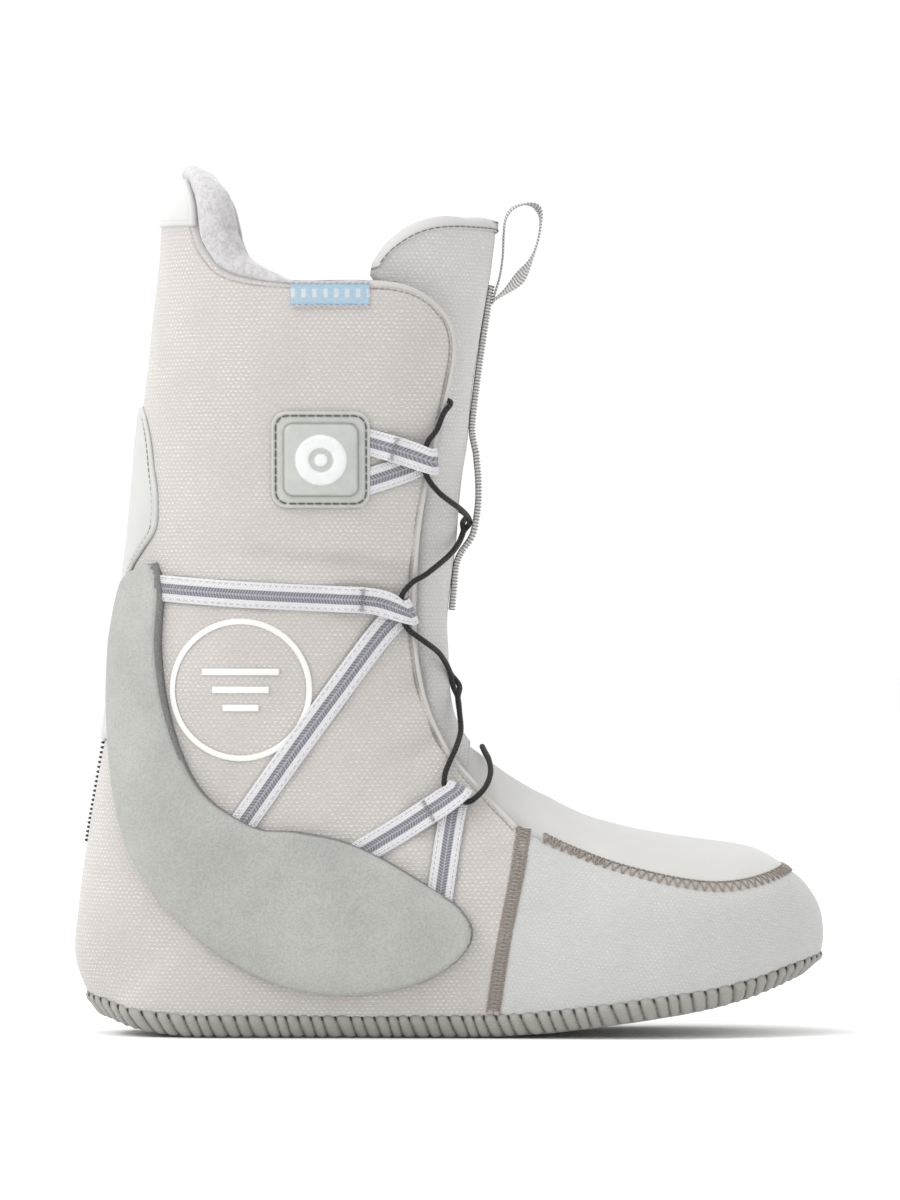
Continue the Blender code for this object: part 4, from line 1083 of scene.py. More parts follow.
def make_stage():
    """Camera level with the boot's middle, soft lights and a plain floor."""
    camera = bpy.data.objects.new("camera", bpy.data.cameras.new("camera"))
    bpy.context.scene.collection.objects.link(camera)
    camera.location = (0.0002, -VIEW_AWAY, VIEW_LEVEL)
    camera.rotation_euler = (math.pi / 2, 0, 0)
    camera.data.lens = camera.data.sensor_width * VIEW_AWAY / VIEW_HEIGHT
    camera.data.clip_end = 30
    bpy.context.scene.camera = camera
    for name, (place, size, power) in LAMPS.items():
        lamp = bpy.data.objects.new(name, bpy.data.lights.new(name, "AREA"))
        bpy.context.scene.collection.objects.link(lamp)
        lamp.location = place
        lamp.rotation_euler = (Vector(LAMP_TARGET) - lamp.location).to_track_quat("-Z", "Y").to_euler()
        lamp.data.shape = "DISK"
        lamp.data.size = size
        lamp.data.energy = power
    world = bpy.data.worlds.new("studio")
    world.use_nodes = True
    world.node_tree.nodes["Background"].inputs[0].default_value = (1, 1, 1, 1)
    world.node_tree.nodes["Background"].inputs[1].default_value = 1.03
    bpy.context.scene.world = world
    bpy.context.scene.view_settings.view_transform = "Standard"
    turn = turns(48)
    points = np.stack([np.cos(turn), np.sin(turn), turn * 0], 1) * FLOOR_RADIUS
    look = Look("floor", 0.9)
    look.done(look.shade((0.97, 0.97, 0.97, 1), 0.01, scale=2.0))
    build("floor", points, [list(range(48))], [(0, 0)] * 48, [look.material])


def lace_route(count):
    """The lace's line from the lateral flap's top to the medial flap's top."""
    def mirrored(points):
        return [(x, -y, z) for x, y, z in points]

    knots = (
        LACE_TOP + [LACE_CROSS_TAPE[0]] + mirrored(LACE_MIDDLE) + [LACE_CROSS_TONGUE[0]]
        + LACE_LOWER + [LACE_CROSS_VAMP] + mirrored(LACE_LOWER)[::-1] + [LACE_CROSS_TONGUE[1]]
        + LACE_MIDDLE[::-1] + [LACE_CROSS_TAPE[1]] + mirrored(LACE_TOP)[::-1]
    )
    return resample(smooth_at(knots, np.linspace(0, len(knots) - 1, 2400)), count)


def make_lace(look):
    """One round lace as a tube whose surface carries its braid."""
    path = lace_route(1300)
    along = directions(path)
    side_way = unit(np.cross(along, (0.02, 0.03, 1.0)))
    over = np.cross(side_way, along)
    turn = turns(12)
    rings = path[:, None] + (side_way[:, None] * np.cos(turn)[:, None]
                             + over[:, None] * np.sin(turn)[:, None]) * LACE_DIAMETER / 2
    run = run_along(path)
    flats = np.stack(np.broadcast_arrays(run[:, None], turn * LACE_DIAMETER / 2), -1)
    piece = settle(rings_mesh("lace", rings, flats, look), None, "black_cord", "lace")
    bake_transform(piece)


def flap_line(inset, count):
    """Line inside the flap's edge, from the side seam up to the collar, drawn in the side view."""
    line = resample(evenly(QUARTER_EDGE[:14], count), count, 2)[:, :2]
    along = directions(line)
    return line + np.stack([-along[:, 1], along[:, 0]], 1) * inset


def strap_lines(side):
    """Middle lines of the webbing straps, on the shell."""
    legs = [leg for loop in LACE_LOOPS.values() for leg in loop[:2]]
    return [drawn_line(leg, 40, side)[0] for leg in legs]


def make_quarters(look, lining):
    """Padded side panels from the side seams round the ankle and up to the collar."""
    edge = evenly(QUARTER_EDGE, 210)
    start = places(edge)
    end = np.stack([edge[:, 2], welt_angle(edge[:, 2], PANEL_FOOT)], 1)
    for name, side in SIDES.items():
        grid = grid_between(start, end, side, spread(72, 1))
        straps = strap_lines(side)

        def relief(points, gap, straps=straps):
            x, _, z = points.T
            lumps = 0.22 * soft_noise(points, 13, 7.0) - 0.55 * bell(gap - PIPING_WIDE, 0.45)
            lumps -= 0.5 * bell(distance(points, straps), 5.4, 4)
            ankle = bell(x + 2, 20) * bell(z - 128, 24)
            cuff = bell(z - 186, 16) * ramp(x, -120, 60)
            lumps += 0.55 * ankle * np.sin((z * 0.9 - x * 0.4) / 3.6)
            return lumps + 0.35 * cuff * np.sin(z / 3.3 + x / 30)

        piece = pad("quarter_" + name, [grid], -FOAM, 0, [look, lining], [grid[0][:, 0]], 3.4, relief,
                    swell=(0.55, 34))
        settle(piece, "root", "mesh_fabric", "quarter_" + name)


def make_toe_panel(look, lining):
    """Padded panel round the toe, with a finer and cooler mesh."""
    nose = np.linspace(0.0, 3.15, 18)
    edge = evenly(TOE_EDGE, 74)
    start = places(edge)
    start[0, 1] = 0.0
    start = np.concatenate([front_line(nose), start])
    section = np.concatenate([nose, edge[:, 2]])
    end = np.stack([section, welt_angle(section, PANEL_FOOT)], 1)
    grids = both_sides(start, end, spread(40))
    free = [grid[0][len(nose):, 0] for grid in grids]

    def relief(points, gap):
        return 0.12 * soft_noise(points, 9, 5.0) + 0.3 * bell(gap - 7, 4)

    piece = pad("toe_panel", grids, -FOAM, 0, [look, lining], free, 2.6, relief, swell=(0.5, 30, 3.0))
    settle(piece, "root", "mesh_fabric", "toe_panel")


def make_vamp(look):
    """Smooth stretch panel over the toes and up the instep."""
    rows = smooth_at(VAMP_ROWS, np.linspace(0, len(VAMP_ROWS) - 1, 90))
    section, sink = rows.T
    toe_side = line_angle(TOE_EDGE, section) - 0.02
    flap_side = line_angle(QUARTER_EDGE, section) - 0.06
    reach = np.where(section < 10.38, toe_side, flap_side)
    reach = np.convolve(np.pad(reach, 2, mode="edge"), np.ones(5) / 5, "valid")
    start = front_line(section)
    end = np.stack([section, reach], 1)
    grids = [
        (points + normals * sink[:, None, None], normals)
        for points, normals in both_sides(start, end, spread(26))
    ]
    free = [grid[0][:, -1] for grid in grids]
    free.append(np.concatenate([grids[0][0][0][::-1], grids[1][0][0]]))

    def relief(points, gap):
        return 1.2 * np.minimum(gap / 14, 1) ** 1.3 * ramp(points[:, 0], 18, 20)

    piece = pad("vamp_panel", grids, -VAMP_THICK, 0, [look], free, 1.8, relief, up=(0, 1, 0),
                swell=(0.3, 26, 9.0))
    settle(piece, "root", "stretch_fabric", "vamp_panel")


def tongue_grids():
    """Grids of the tongue on both sides, from its foot to its wings and top."""
    section = np.linspace(12.2, 25.85, 96)
    reach = tongue_angle(np.minimum(section, 24.0))
    top = evenly(TONGUE_TOP, 26)
    widen = ramp(section, WING_START, section[-1] - WING_START)
    reach = reach + (locate(*top[:1, :2].T)[1] - reach) * widen**1.3
    start = front_line(section)
    end = np.stack([section, reach], 1)
    start = np.concatenate([start, front_line(top[:, 2])])
    end = np.concatenate([end, places(top)])
    row = start[:, :1]
    edge = ramp(spread(34), 0.55, 0.2) * np.clip((26.1 - row) / 0.3, 0, 1)
    lift = TONGUE_LIFT - 0.8 * edge * (row > WING_START)
    return [
        (points + normals * lift[..., None], normals)
        for points, normals in both_sides(start, end, spread(34))
    ]


def make_tongue(look, lining):
    """Padded tongue with a shallow channel for the tape."""
    grids = tongue_grids()
    across = np.concatenate([grids[0][0][-1][::-1], grids[1][0][-1]])
    free = [grid[0][:, -1] for grid in grids] + [across]

    def relief(points, gap):
        channel = bell(points[:, 1], 7.5, 4) * ramp(points[:, 2], 150, 20)
        return 0.2 * soft_noise(points, 10, 2.0) - 0.5 * channel

    piece = pad("tongue", grids, -TONGUE_THICK, 0, [look, lining], free, 4.2, relief,
                swell=(0.6, 30, 11.0))
    hang(piece, "tongue_fabric", "tongue")


def make_binding(look, thread):
    """Smooth binding rolled over the tongue's top, and the stitches along its lower edge."""
    outline = np.array([row[:2] for row in TONGUE_TOP] + [(22, 319.0), (28.0, 319.2)])
    upper = evenly(outline, 70)
    lower = evenly(BINDING_LINE, 70)
    bands, lines = [], []
    for side in SIDES.values():
        points, normals = drawn_grid(upper, lower, side, spread(16, 1))
        bands.append((points + normals * TONGUE_LIFT, normals))
        line = evenly(BINDING_LINE, 90)
        path, ups = on_shell(line[:, 0], line[:, 1] + 0.9, side, TONGUE_LIFT + 0.55)
        lines += stitch_line(path, ups, 2.2, 0.7, 0.2)
    rolled = pad("tongue_binding", bands, -TONGUE_THICK - 0.4, 0.5, [look],
                 [grid[0][:, 0] for grid in bands], 4.4)
    settle(rolled, "tongue", "smooth_overlay", "tongue_binding")
    sew("tongue_stitches", lines, 0.22, thread, body="tongue")


def make_gussets(look, lining):
    """Thin cloth that reaches from the tongue's sides in behind the flaps."""
    back = evenly(GUSSET_BACK, 110)
    section = np.linspace(11.0, 24.3, 110)
    start = np.stack([section, tongue_angle(np.clip(section, 13.0, 24.0)) - 0.12], 1)
    end = places(back)
    for name, side in SIDES.items():
        grid = grid_between(start, end, side, spread(20))
        piece = pad("gusset_" + name, [grid], -12.3, -11.0, [look, lining], [grid[0][:, -1]], 0.8)
        hang(piece, "tongue_fabric")


def make_tape(look):
    """Ribbed tape down the tongue's front, standing off where the lace passes behind it."""
    rows = evenly(TAPE_ROUTE, 560, 1)
    lowered = 1.3 * np.clip((2.6 - rows[:, 1]) / 1.6, 0, 1)
    path = shell(rows[:, 0], 0.0, MEDIAL, TONGUE_LIFT + rows[:, 1] - lowered)
    path = resample(path, 620)
    ups = np.broadcast_to(unit(np.array([1.0, 0, 0.12])), path.shape)
    rib = 0.5 + 0.5 * np.sin(run_along(path) * 2 * math.pi / RIB_PITCH)
    flat = flat_profile(10.5, -0.3, 1.7, 22)
    profile = np.repeat(flat[None], len(path), 0)
    profile[:, :, 1] += (flat[:, 1] > 0.7) * rib[:, None] * 0.8
    hang(band("tongue_tape", path, ups, profile, look), "ribbed_tape", "tongue_tape")


def make_pull_loop(look):
    """Closed webbing loop at the top of the tape."""
    line = evenly(PULL_LOOP, 150)
    path = np.stack([line[:, 0], line[:, 0] * 0, line[:, 1]], 1)
    along = directions(path)
    share = np.linspace(0, 1, len(path))
    twist = 0.4 * bell(share - 0.48, 0.08) - 0.6 * bell(share - 0.86, 0.08)
    level = np.stack([np.sin(twist), -np.cos(twist), twist * 0], 1)
    ups = unit(np.cross(along, level))
    rib = 0.1 * np.sin(run_along(path) * 2 * math.pi / RIB_PITCH)
    flat = flat_profile(9.5, -0.42, 0.42, 22)
    profile = np.repeat(flat[None], len(path), 0)
    profile[:, :, 1] += np.sign(flat[:, 1]) * rib[:, None]
    piece = settle(band("pull_loop", path, ups, profile, look), None, "ribbed_tape", "pull_loop")
    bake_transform(piece)


def make_heel_overlay(look, thread):
    """Thin smooth overlay down the back, sewn on close to its edge."""
    rows = evenly(OVERLAY_ROWS, 120, 1)
    section = rows[:, 0]
    start = np.stack([section, rear_angle(section, rows[:, 1])], 1)
    end = back_line(section)
    grids = both_sides(start, end, spread(26, 1))
    free = [grid[0][:, 0] for grid in grids] + free_ends(grids)

    def relief(points, gap):
        seam = 0.5 * bell(points[:, 1], 1.2)
        return 0.15 * soft_noise(points, 22) - 0.35 * bell(gap - 2.2, 0.4) + seam

    piece = pad("heel_overlay", grids, 0.1, 1.5, [look], free, 1.3, relief, meet=0.1)
    settle(piece, "root", "smooth_overlay", "heel_overlay")
    keep = (section > 21.3) & (section < 24.25)
    angle = rear_angle(section, np.maximum(rows[:, 1] - 2.2, 0.5))
    lines = []
    for side in SIDES.values():
        path = resample(shell(section, angle, side, 1.25)[keep], 200)
        ups = unit(path * (1, 1, 0) + (60, 0, 0))
        lines += stitch_line(path, ups, 1.9, 0.6, 0.15)
    sew("heel_overlay_stitches", lines, 0.2, thread)


def make_collar_tab(look):
    """White tab at the top of the rear ear."""
    rows = evenly(TAB_EDGE, 40)
    start = places(rows)
    end = back_line(rows[:, 2])
    grids = both_sides(start, end, spread(30, 1))
    free = [grid[0][:, 0] for grid in grids] + free_ends(grids)

    def relief(points, gap):
        return 0.12 * soft_noise(points, 18) - 0.3 * bell(gap - 1.8, 0.35)

    piece = pad("collar_tab", grids, -2.6, 1.5, [look], free, 1.4, relief, meet=0.1)
    settle(piece, "root", "white_tab", "collar_tab")


def make_ring(look):
    """Raised printed ring on the ankle, with three plain bars inside it."""
    x, z, radius = RING
    turn = turns(180)
    path, ups = on_shell(x + radius * np.cos(turn), z + radius * np.sin(turn), LATERAL)
    ring = band("printed_ring", path, ups, flat_profile(2.3, 0.0, 0.75), look, closed=True)
    settle(ring, "root", "raised_print", "printed_ring")
    for number, (height, half) in enumerate(RING_BARS):
        line = x + np.linspace(-half, half, 40)
        path, ups = on_shell(line, np.full(40, z + height), LATERAL)
        bar = band("printed_bar_%d" % number, path, ups, flat_profile(2.6, 0.0, 0.7), look)
        settle(bar, "root", "raised_print")


def make_j_bars(look, shaded_wall_look):
    """Foam bars that cup the ankle, bonded on with their cut edges showing, coarser grained and painted
    darker as shade.
    """
    outer = evenly(J_BAR_OUTER, 120)
    inner = evenly(J_BAR_INNER, 120)

    def relief(points, gap):
        return 0.3 * soft_noise(points, 24, 4.0) + 0.4 * np.minimum(gap / 12, 1)

    for name, side in SIDES.items():
        grid = drawn_grid(outer, inner, side, spread(30))
        # The rounded walls and underside take the darker foam copy: painted shade over the cut foam's
        # coarser grain.
        piece = pad("j_bar_" + name, [grid], 0.05, 5.3, [look, shaded_wall_look],
                    [grid[0][:, 0], grid[0][:, -1]], 1.7, relief, meet=0.05)
        settle(piece, "root", "speckled_foam", "j_bar_" + name)


def patch_grid(half, corner, count):
    """Rounded rectangle on the patch's middle as a grid on the lateral side."""
    half_wide, half_tall = half
    middle_x, middle_z = PATCH_CENTRE
    share = 2 * spread(count) - 1
    levels = share * half_tall
    into = np.maximum(0.0, np.abs(levels) - (half_tall - corner))
    wide = half_wide - corner + np.sqrt(np.maximum(0.0, corner**2 - into**2))
    x = middle_x + wide[:, None] * share
    return on_shell(x, np.broadcast_to(middle_z + levels[:, None], x.shape), LATERAL)


def grid_rim(points):
    """Line round a grid's four sides."""
    return np.concatenate([points[0], points[:, -1], points[-1][::-1], points[::-1, 0]])


def make_patch_base(look, thread):
    """Square patch sewn on round its edge."""
    grid = patch_grid(PATCH_HALF, PATCH_CORNER, 40)

    def relief(points, gap):
        return 0.25 * bell(gap, 1.1) - 0.35 * bell(gap - PATCH_STITCH, 0.5)

    piece = pad("patch_base", [grid], 0.05, 1.8, [look], [grid_rim(grid[0])], 0.9, relief, meet=0.05)
    settle(piece, "root", "patch_leather", "patch_base")
    inner = [half - PATCH_STITCH for half in PATCH_HALF]
    points, normals = patch_grid(inner, PATCH_CORNER - 1.4, 60)
    path = grid_rim(points + normals * 1.75)
    ups = grid_rim(normals)
    keep = np.concatenate([[True], np.linalg.norm(np.diff(path, axis=0), axis=1) > 1e-6])
    sew("patch_stitches", stitch_line(path[keep], ups[keep], 2.5, 0.75, 0.18, 0.3), 0.27, thread)


def make_patch_cushion(look):
    """Raised cushion on the patch, with a plain embossed ring and dot."""
    grid = patch_grid(CUSHION_HALF, CUSHION_CORNER, 56)
    centre = on_shell(*np.array(PATCH_CENTRE)[:, None], LATERAL)[0][0]

    def emblem(points):
        away = np.linalg.norm((points - centre)[:, [0, 2]], axis=1)
        ring = 1 / (1 + np.exp((np.abs(away - 7.2) - 2.3) * 6))
        dot = 1 / (1 + np.exp((away - 2.2) * 6))
        return np.maximum(ring, dot)

    def crowned(points, gap):
        return 0.9 * np.minimum(gap / 8, 1) + 0.55 * emblem(points) - 0.25

    # Paler on the embossed emblem, and painted shade round the cushion's foot where it meets the base.
    def tone(points, gap):
        return emblem(points) * 0.9 - 0.9 * bell(gap, 0.8)

    piece = pad("patch_cushion", [grid], 1.6, 3.9, [look], [grid_rim(grid[0])], 1.9, crowned,
                meet=1.6, tone=tone)
    settle(piece, "root", "patch_leather", "patch_cushion")


def make_label(look, thread):
    """Woven label sewn on with a looped edge stitch."""
    span = np.linspace(*LABEL_ENDS, 60)
    low, high = (np.stack([span, np.full(60, edge)], 1) for edge in LABEL_EDGES)
    grid = drawn_grid(low, high, LATERAL, spread(18))
    piece = pad("woven_label", [grid], 0.05, 0.95, [look], [grid_rim(grid[0])], 0.5, meet=0.05)
    settle(piece, "root", "woven_label", "woven_label")
    run = np.linspace(LABEL_ENDS[0] + 0.3, LABEL_ENDS[1] - 0.3, 240)
    loops = 0.75 * np.abs(np.sin((run - run[0]) * math.pi / 2.4)) - 0.3
    lines = [
        on_shell(run, edge + sign * loops, LATERAL, 1.05)[0]
        for edge, sign in zip(LABEL_EDGES, (-1, 1))
    ]
    sew("label_stitches", lines, 0.3, thread)


def fold_rows(fold, axis, out, centre):
    """Rows of a webbing strip round its fold."""
    rows = []
    for turn in np.linspace(0.5, -0.5, 14)[1:-1] * math.pi:
        reach, height = math.cos(turn), math.sin(turn)
        inner = centre + FOLD_RADIUS * height
        outer = inner + WEBBING_THICK * height
        rows.append((fold + out * FOLD_RADIUS * reach, inner, outer, axis, out * WEBBING_THICK * reach))
    return rows


def loop_rows(leg_a, leg_b, fold_axis, drop):
    """Rows of a webbing strip: x and z, inner and outer height, direction across, outward shift."""
    low_face = LAYER_GAP + 0.3
    high_face = low_face + WEBBING_THICK
    centre = high_face + FOLD_RADIUS
    fold = np.array(leg_a[-1], float)
    axis = unit(np.array(fold_axis, float))
    path_a, path_b = evenly(leg_a, 44), evenly(leg_b, 44)
    out = np.array((axis[1], -axis[0]))
    if out @ (fold - path_a[0]) < 0:
        out = -out

    def leg_rows(path, way):
        rows = []
        for point, ahead in zip(path, directions(path) * way):
            gone = math.dist(point, fold)
            square = np.array((-ahead[1], ahead[0]))
            square = square if square @ axis > 0 else -square
            share = min(gone / 9.0, 1.0)
            across = unit(axis * (1 - share) + square * share)
            settled = 0.85 * (1 - math.exp(-max(gone - 6, 0) / 8))
            stand = (centre + FOLD_RADIUS - low_face) * loop_height(gone, drop)
            upper = low_face + stand, low_face + stand + WEBBING_THICK
            inner, outer = upper if way == 1 else (high_face, low_face)
            rows.append((point, inner - settled, outer - settled, across, out * 0))
        return rows

    return leg_rows(path_a, 1) + fold_rows(fold, axis, out, centre) + leg_rows(path_b, -1)


def loop_height(gone, drop):
    """How far the upper leg stands up, 1 at the fold, part way over the lower leg, then 0."""
    near, far = drop
    over = 0.45
    rising = over + (1 - over) * max(0.0, 1 - gone / 8)
    share = min(max((far - gone) / (far - near), 0.0), 1.0)
    return rising * share * share * (3 - 2 * share) if gone > near else rising


def make_loop(place, name, side, look):
    """Webbing strip folded round the lace."""
    turn = turns(24)
    across_share = squarer(np.cos(turn), 0.5)
    height_share = 0.5 + 0.5 * squarer(np.sin(turn), 0.6)
    x, z, lift = [], [], []
    for point, inner, outer, across, shift in loop_rows(*LACE_LOOPS[place]):
        half = across[None] * across_share[:, None] * WEBBING_WIDTH / 2
        spot = point + half + shift * height_share[:, None]
        x.append(spot[:, 0])
        z.append(spot[:, 1])
        lift.append(inner + (outer - inner) * height_share)
    rings = on_shell(np.array(x), np.array(z), side, np.array(lift))[0]
    run = run_along(rings.mean(1))
    flats = np.stack(np.broadcast_arrays(run[:, None], across_share * WEBBING_WIDTH / 2), -1)
    node = "lace_loop_%s_%s" % (place, name)
    settle(rings_mesh(node, rings, flats, look), "root", "webbing", node)


def make_bar_tack(place, name, side, thread):
    """Dense short zigzag that sews a loop's upper leg down over the lower one."""
    leg, _, _, drop = LACE_LOOPS[place]
    line = evenly(leg, 80)
    gone = np.linalg.norm(line - np.array(leg[-1]), axis=1)
    spot = int(np.argmin(np.abs(gone - TACK_PLACE[place])))
    along = directions(line)[spot]
    square = np.array((-along[1], along[0]))
    share = np.linspace(-1, 1, 22)
    tack = line[spot] + square * share[:, None] * (WEBBING_WIDTH / 2 - 0.4)
    tack += along * (np.arange(22) % 2 - 0.5)[:, None] * 1.5
    stand = (2 * FOLD_RADIUS + WEBBING_THICK) * loop_height(TACK_PLACE[place], drop)
    top = LAYER_GAP + 0.3 + stand + WEBBING_THICK
    path = on_shell(tack[:, 0], tack[:, 1], side, top - 0.35)[0]
    sew("bar_tack_%s_%s" % (place, name), [path], 0.24, thread)


def make_lace_loops(look, thread):
    """The six loops of folded webbing, each with its bar tack."""
    for name, side in SIDES.items():
        for place in LACE_LOOPS:
            make_loop(place, name, side, look)
            make_bar_tack(place, name, side, thread)


def make_side_seam(name, side, thread, cloth):
    """Flat seam where a quarter meets the toe panel: crossed zigzags and stitch lines on a strip."""
    path, ups = drawn_line(SIDE_SEAM, 120, side, 0.1)
    strip = band("side_strip_" + name, path, ups, flat_profile(5.0, -1.6, 0.0), cloth)
    settle(strip, "root", "mesh_fabric")
    lines = [zigzag(path, ups, half, 3.0, 0.25) for half in (2.4, -2.4)]
    across = unit(np.cross(directions(path), ups))
    for shift in (-2.5, 0.0, 2.5):
        lines += stitch_line(path + across * shift, ups, 1.9, 0.5, 0.2)
    sew("side_seam_" + name, lines, 0.3, thread, "side_seam_" + name)


def make_flap_edge(name, side, thread, look):
    """Piping bead inside the flap's edge and the stitches in the groove beside it."""
    bead = flap_line(1.15, 160)
    path, ups = on_shell(bead[:, 0], bead[:, 1], side, -0.25)
    piece = band("eyestay_piping_" + name, path, ups, flat_profile(1.7, -0.5, 0.5), look)
    settle(piece, "root", "piping", "eyestay_piping_" + name)
    groove = flap_line(PIPING_WIDE, 160)
    path, ups = on_shell(groove[:, 0], groove[:, 1], side, -0.2)
    sew("flap_stitches_" + name, stitch_line(path, ups, 2.0, 0.5, 0.1), 0.2, thread)


def make_toe_seam(thread, cloth):
    """Zigzag seam round the toe from one side seam to the other, denser at its ends."""
    halves = [drawn_line(TOE_SEAM, 130, side, 0.2) for side in SIDES.values()]
    path, ups = (np.concatenate([a, b[::-1]]) for a, b in zip(*halves))
    path, ups = walk(path, ups, np.linspace(0, run_along(path)[-1], 300))
    strip = band("toe_strip", path, ups, flat_profile(4.6, -1.9, 0.0), cloth)
    settle(strip, "root", "mesh_fabric")
    across = unit(np.cross(directions(path), ups))
    lines = [zigzag(path, ups, 2.1, 3.6, 0.25)]
    lines += stitch_line(path - across * 2.2, ups, 1.5, 0.5, 0.2)
    lines += [zigzag(path[end], ups[end], 1.4, 2.6, 0.3) for end in (slice(34), slice(266, 300))]
    sew("toe_seam", lines, 0.27, thread, "toe_seam")


def make_heel_stitching(thread):
    """Short stitches across the back seam, one above the other."""
    reach = np.array([-0.055, -0.045, 0.0, 0.045, 0.055])
    side = np.where(reach < 0, LATERAL, MEDIAL)
    lift = np.array([-0.4, 0.55, 0.9, 0.55, -0.4])
    angle = math.pi - np.abs(reach)
    lines = [
        np.array([shell(section, a, s, h) for a, s, h in zip(angle, side, lift)])
        for section in np.linspace(STITCH_START, STITCH_END, 22)
    ]
    sew("heel_stitching", lines, 0.5, thread, "heel_stitching")


def make_seams(thread, dark, pale, cloth):
    """All the seams and stitches of the outer foam panels."""
    for name, side in SIDES.items():
        make_side_seam(name, side, thread, cloth)
        make_flap_edge(name, side, thread, pale)
    make_toe_seam(thread, cloth)
    make_heel_stitching(dark)


def collar_path():
    """The fleece roll's line over both sides, with its outward and upward directions and size."""
    line = evenly(QUARTER_EDGE, 400)
    line = line[(line[:, 0] < -58) & (line[:, 1] > 290)][:, :2]
    line = resample(line, 90)
    point, out = on_shell(line[:, 0], line[:, 1], LATERAL)
    rise = unit(np.cross(out, directions(point)))
    rise *= np.where(rise[:, 2:] < 0, -1.0, 1.0)
    size = smooth_at(ROLL_SIZE, np.linspace(0, len(ROLL_SIZE) - 1, 90))
    flip = np.array([1.0, -1.0, 1.0])
    top = [np.array([row]) for row in ROLL_TOP]
    lateral = [point, out, rise]
    whole = [np.concatenate([a, b, a[::-1] * flip]) for a, b in zip(lateral, top)]
    whole.append(np.concatenate([size, size[-1:], size[::-1]]))
    run = run_along(whole[0])
    spots = np.linspace(0, run[-1], 260)
    point, out, rise, size = (
        np.stack([np.interp(spots, run, column) for column in row.T], 1) for row in whole)
    return spots, point, unit(out), unit(rise), size


def make_collar_lining(look):
    """Fleece rolled over the collar's edge and over the rear ear."""
    spots, point, out, rise, size = collar_path()
    turn = turns(30)
    extent, depth = size[:, :1], size[:, 1:]
    tall = (1.6 + 0.9 * extent) / 2
    upward = tall - 0.7 + (tall + 0.7) * squarer(np.cos(turn), 0.85)
    outward_reach = (depth / 2 + 0.3) * squarer(np.sin(turn), 0.85) - depth / 2
    rings = point[:, None] + rise[:, None] * upward[..., None] + out[:, None] * outward_reach[..., None]
    flat = rings.reshape(-1, 3)
    away = unit(flat - np.repeat(rings.mean(1), len(turn), 0))
    fuzz = 0.3 * soft_noise(flat, 7.5) + 0.12 * soft_noise(flat, 2.4, 3.0)
    rings = (flat + away * fuzz[:, None]).reshape(rings.shape)
    flats = np.stack(np.broadcast_arrays(spots[:, None], turn * 8), -1)
    piece = rings_mesh("collar_lining", rings, flats, look)
    settle(piece, "root", "fleece", "collar_lining")


def make_inner_lining(look):
    """Fleece sock inside the foam, open at the front and under the foot."""
    nose = np.linspace(0.0, 3.0, 8)
    toe = evenly(TOE_EDGE, 24)[:-2]
    edge = evenly(QUARTER_EDGE, 70)
    drawn = np.concatenate([toe, edge])
    start = places(drawn)
    start = np.concatenate([front_line(nose), start])
    section = np.concatenate([nose, drawn[:, 2]])
    end = np.stack([section, welt_angle(section, 9.5)], 1)
    grids = both_sides(start, end, np.linspace(0, 1, 34))

    def relief(points, gap):
        return 0.3 * soft_noise(points, 7) + 0.25 * soft_noise(points, 3, 1.0)

    piece = pad("inner_lining", grids, -7.4, LINING_LIFT - 0.6, [look], relief=relief, meet=-8.5)
    settle(piece, "root", "fleece", "inner_lining")


def sole_outline(count):
    """Points round the sole's plan outline and the direction out of it at each."""
    share = (1 - np.cos(math.pi * np.linspace(0, 1, 60))) / 2
    row = smooth_at(STATIONS, SOLE_START + (SOLE_END - SOLE_START) * share)
    half = np.maximum(row[:, 5], 0.4)
    lateral = np.stack([row[:, 2], row[:, 6] - half], 1)
    medial = np.stack([row[:, 2], row[:, 6] + half], 1)[::-1]
    loop = resample(np.concatenate([lateral, medial, lateral[:1]]), count + 1)[:-1]
    for _ in range(int(count / 40)):
        loop = (np.roll(loop, 1, 0) + 2 * loop + np.roll(loop, -1, 0)) / 4
    along = directions(loop, closed=True)
    out = np.stack([-along[:, 1], along[:, 0]], 1)
    if ((loop - loop.mean(0)) * out).sum() < 0:
        out = -out
    return loop, out


def shell_reach(loop, out, height):
    """How far out of the sole's outline the shell lies at a height over the underside."""
    ground = sole_height(loop[:, 0])

    def inside(away):
        place = loop + out * away[:, None]
        section, share, outside = find(place[:, 0], ground + height)
        width = base(section, np.arccos(1 - 2 * np.clip(share, 0, 1)), MEDIAL)[:, 1]
        middle = smooth_at(STATIONS, section)[:, 6]
        return (outside < 0.004) & (np.abs(place[:, 1] - middle) < width - middle)

    return halve(inside, -4.0, 14.0, len(loop))


def round_loop(values, run, spots):
    """Rows of a closed loop at distances along it."""
    wrapped = np.concatenate([values, values[:1]])
    return np.stack([np.interp(spots, run, column) for column in wrapped.T], 1)


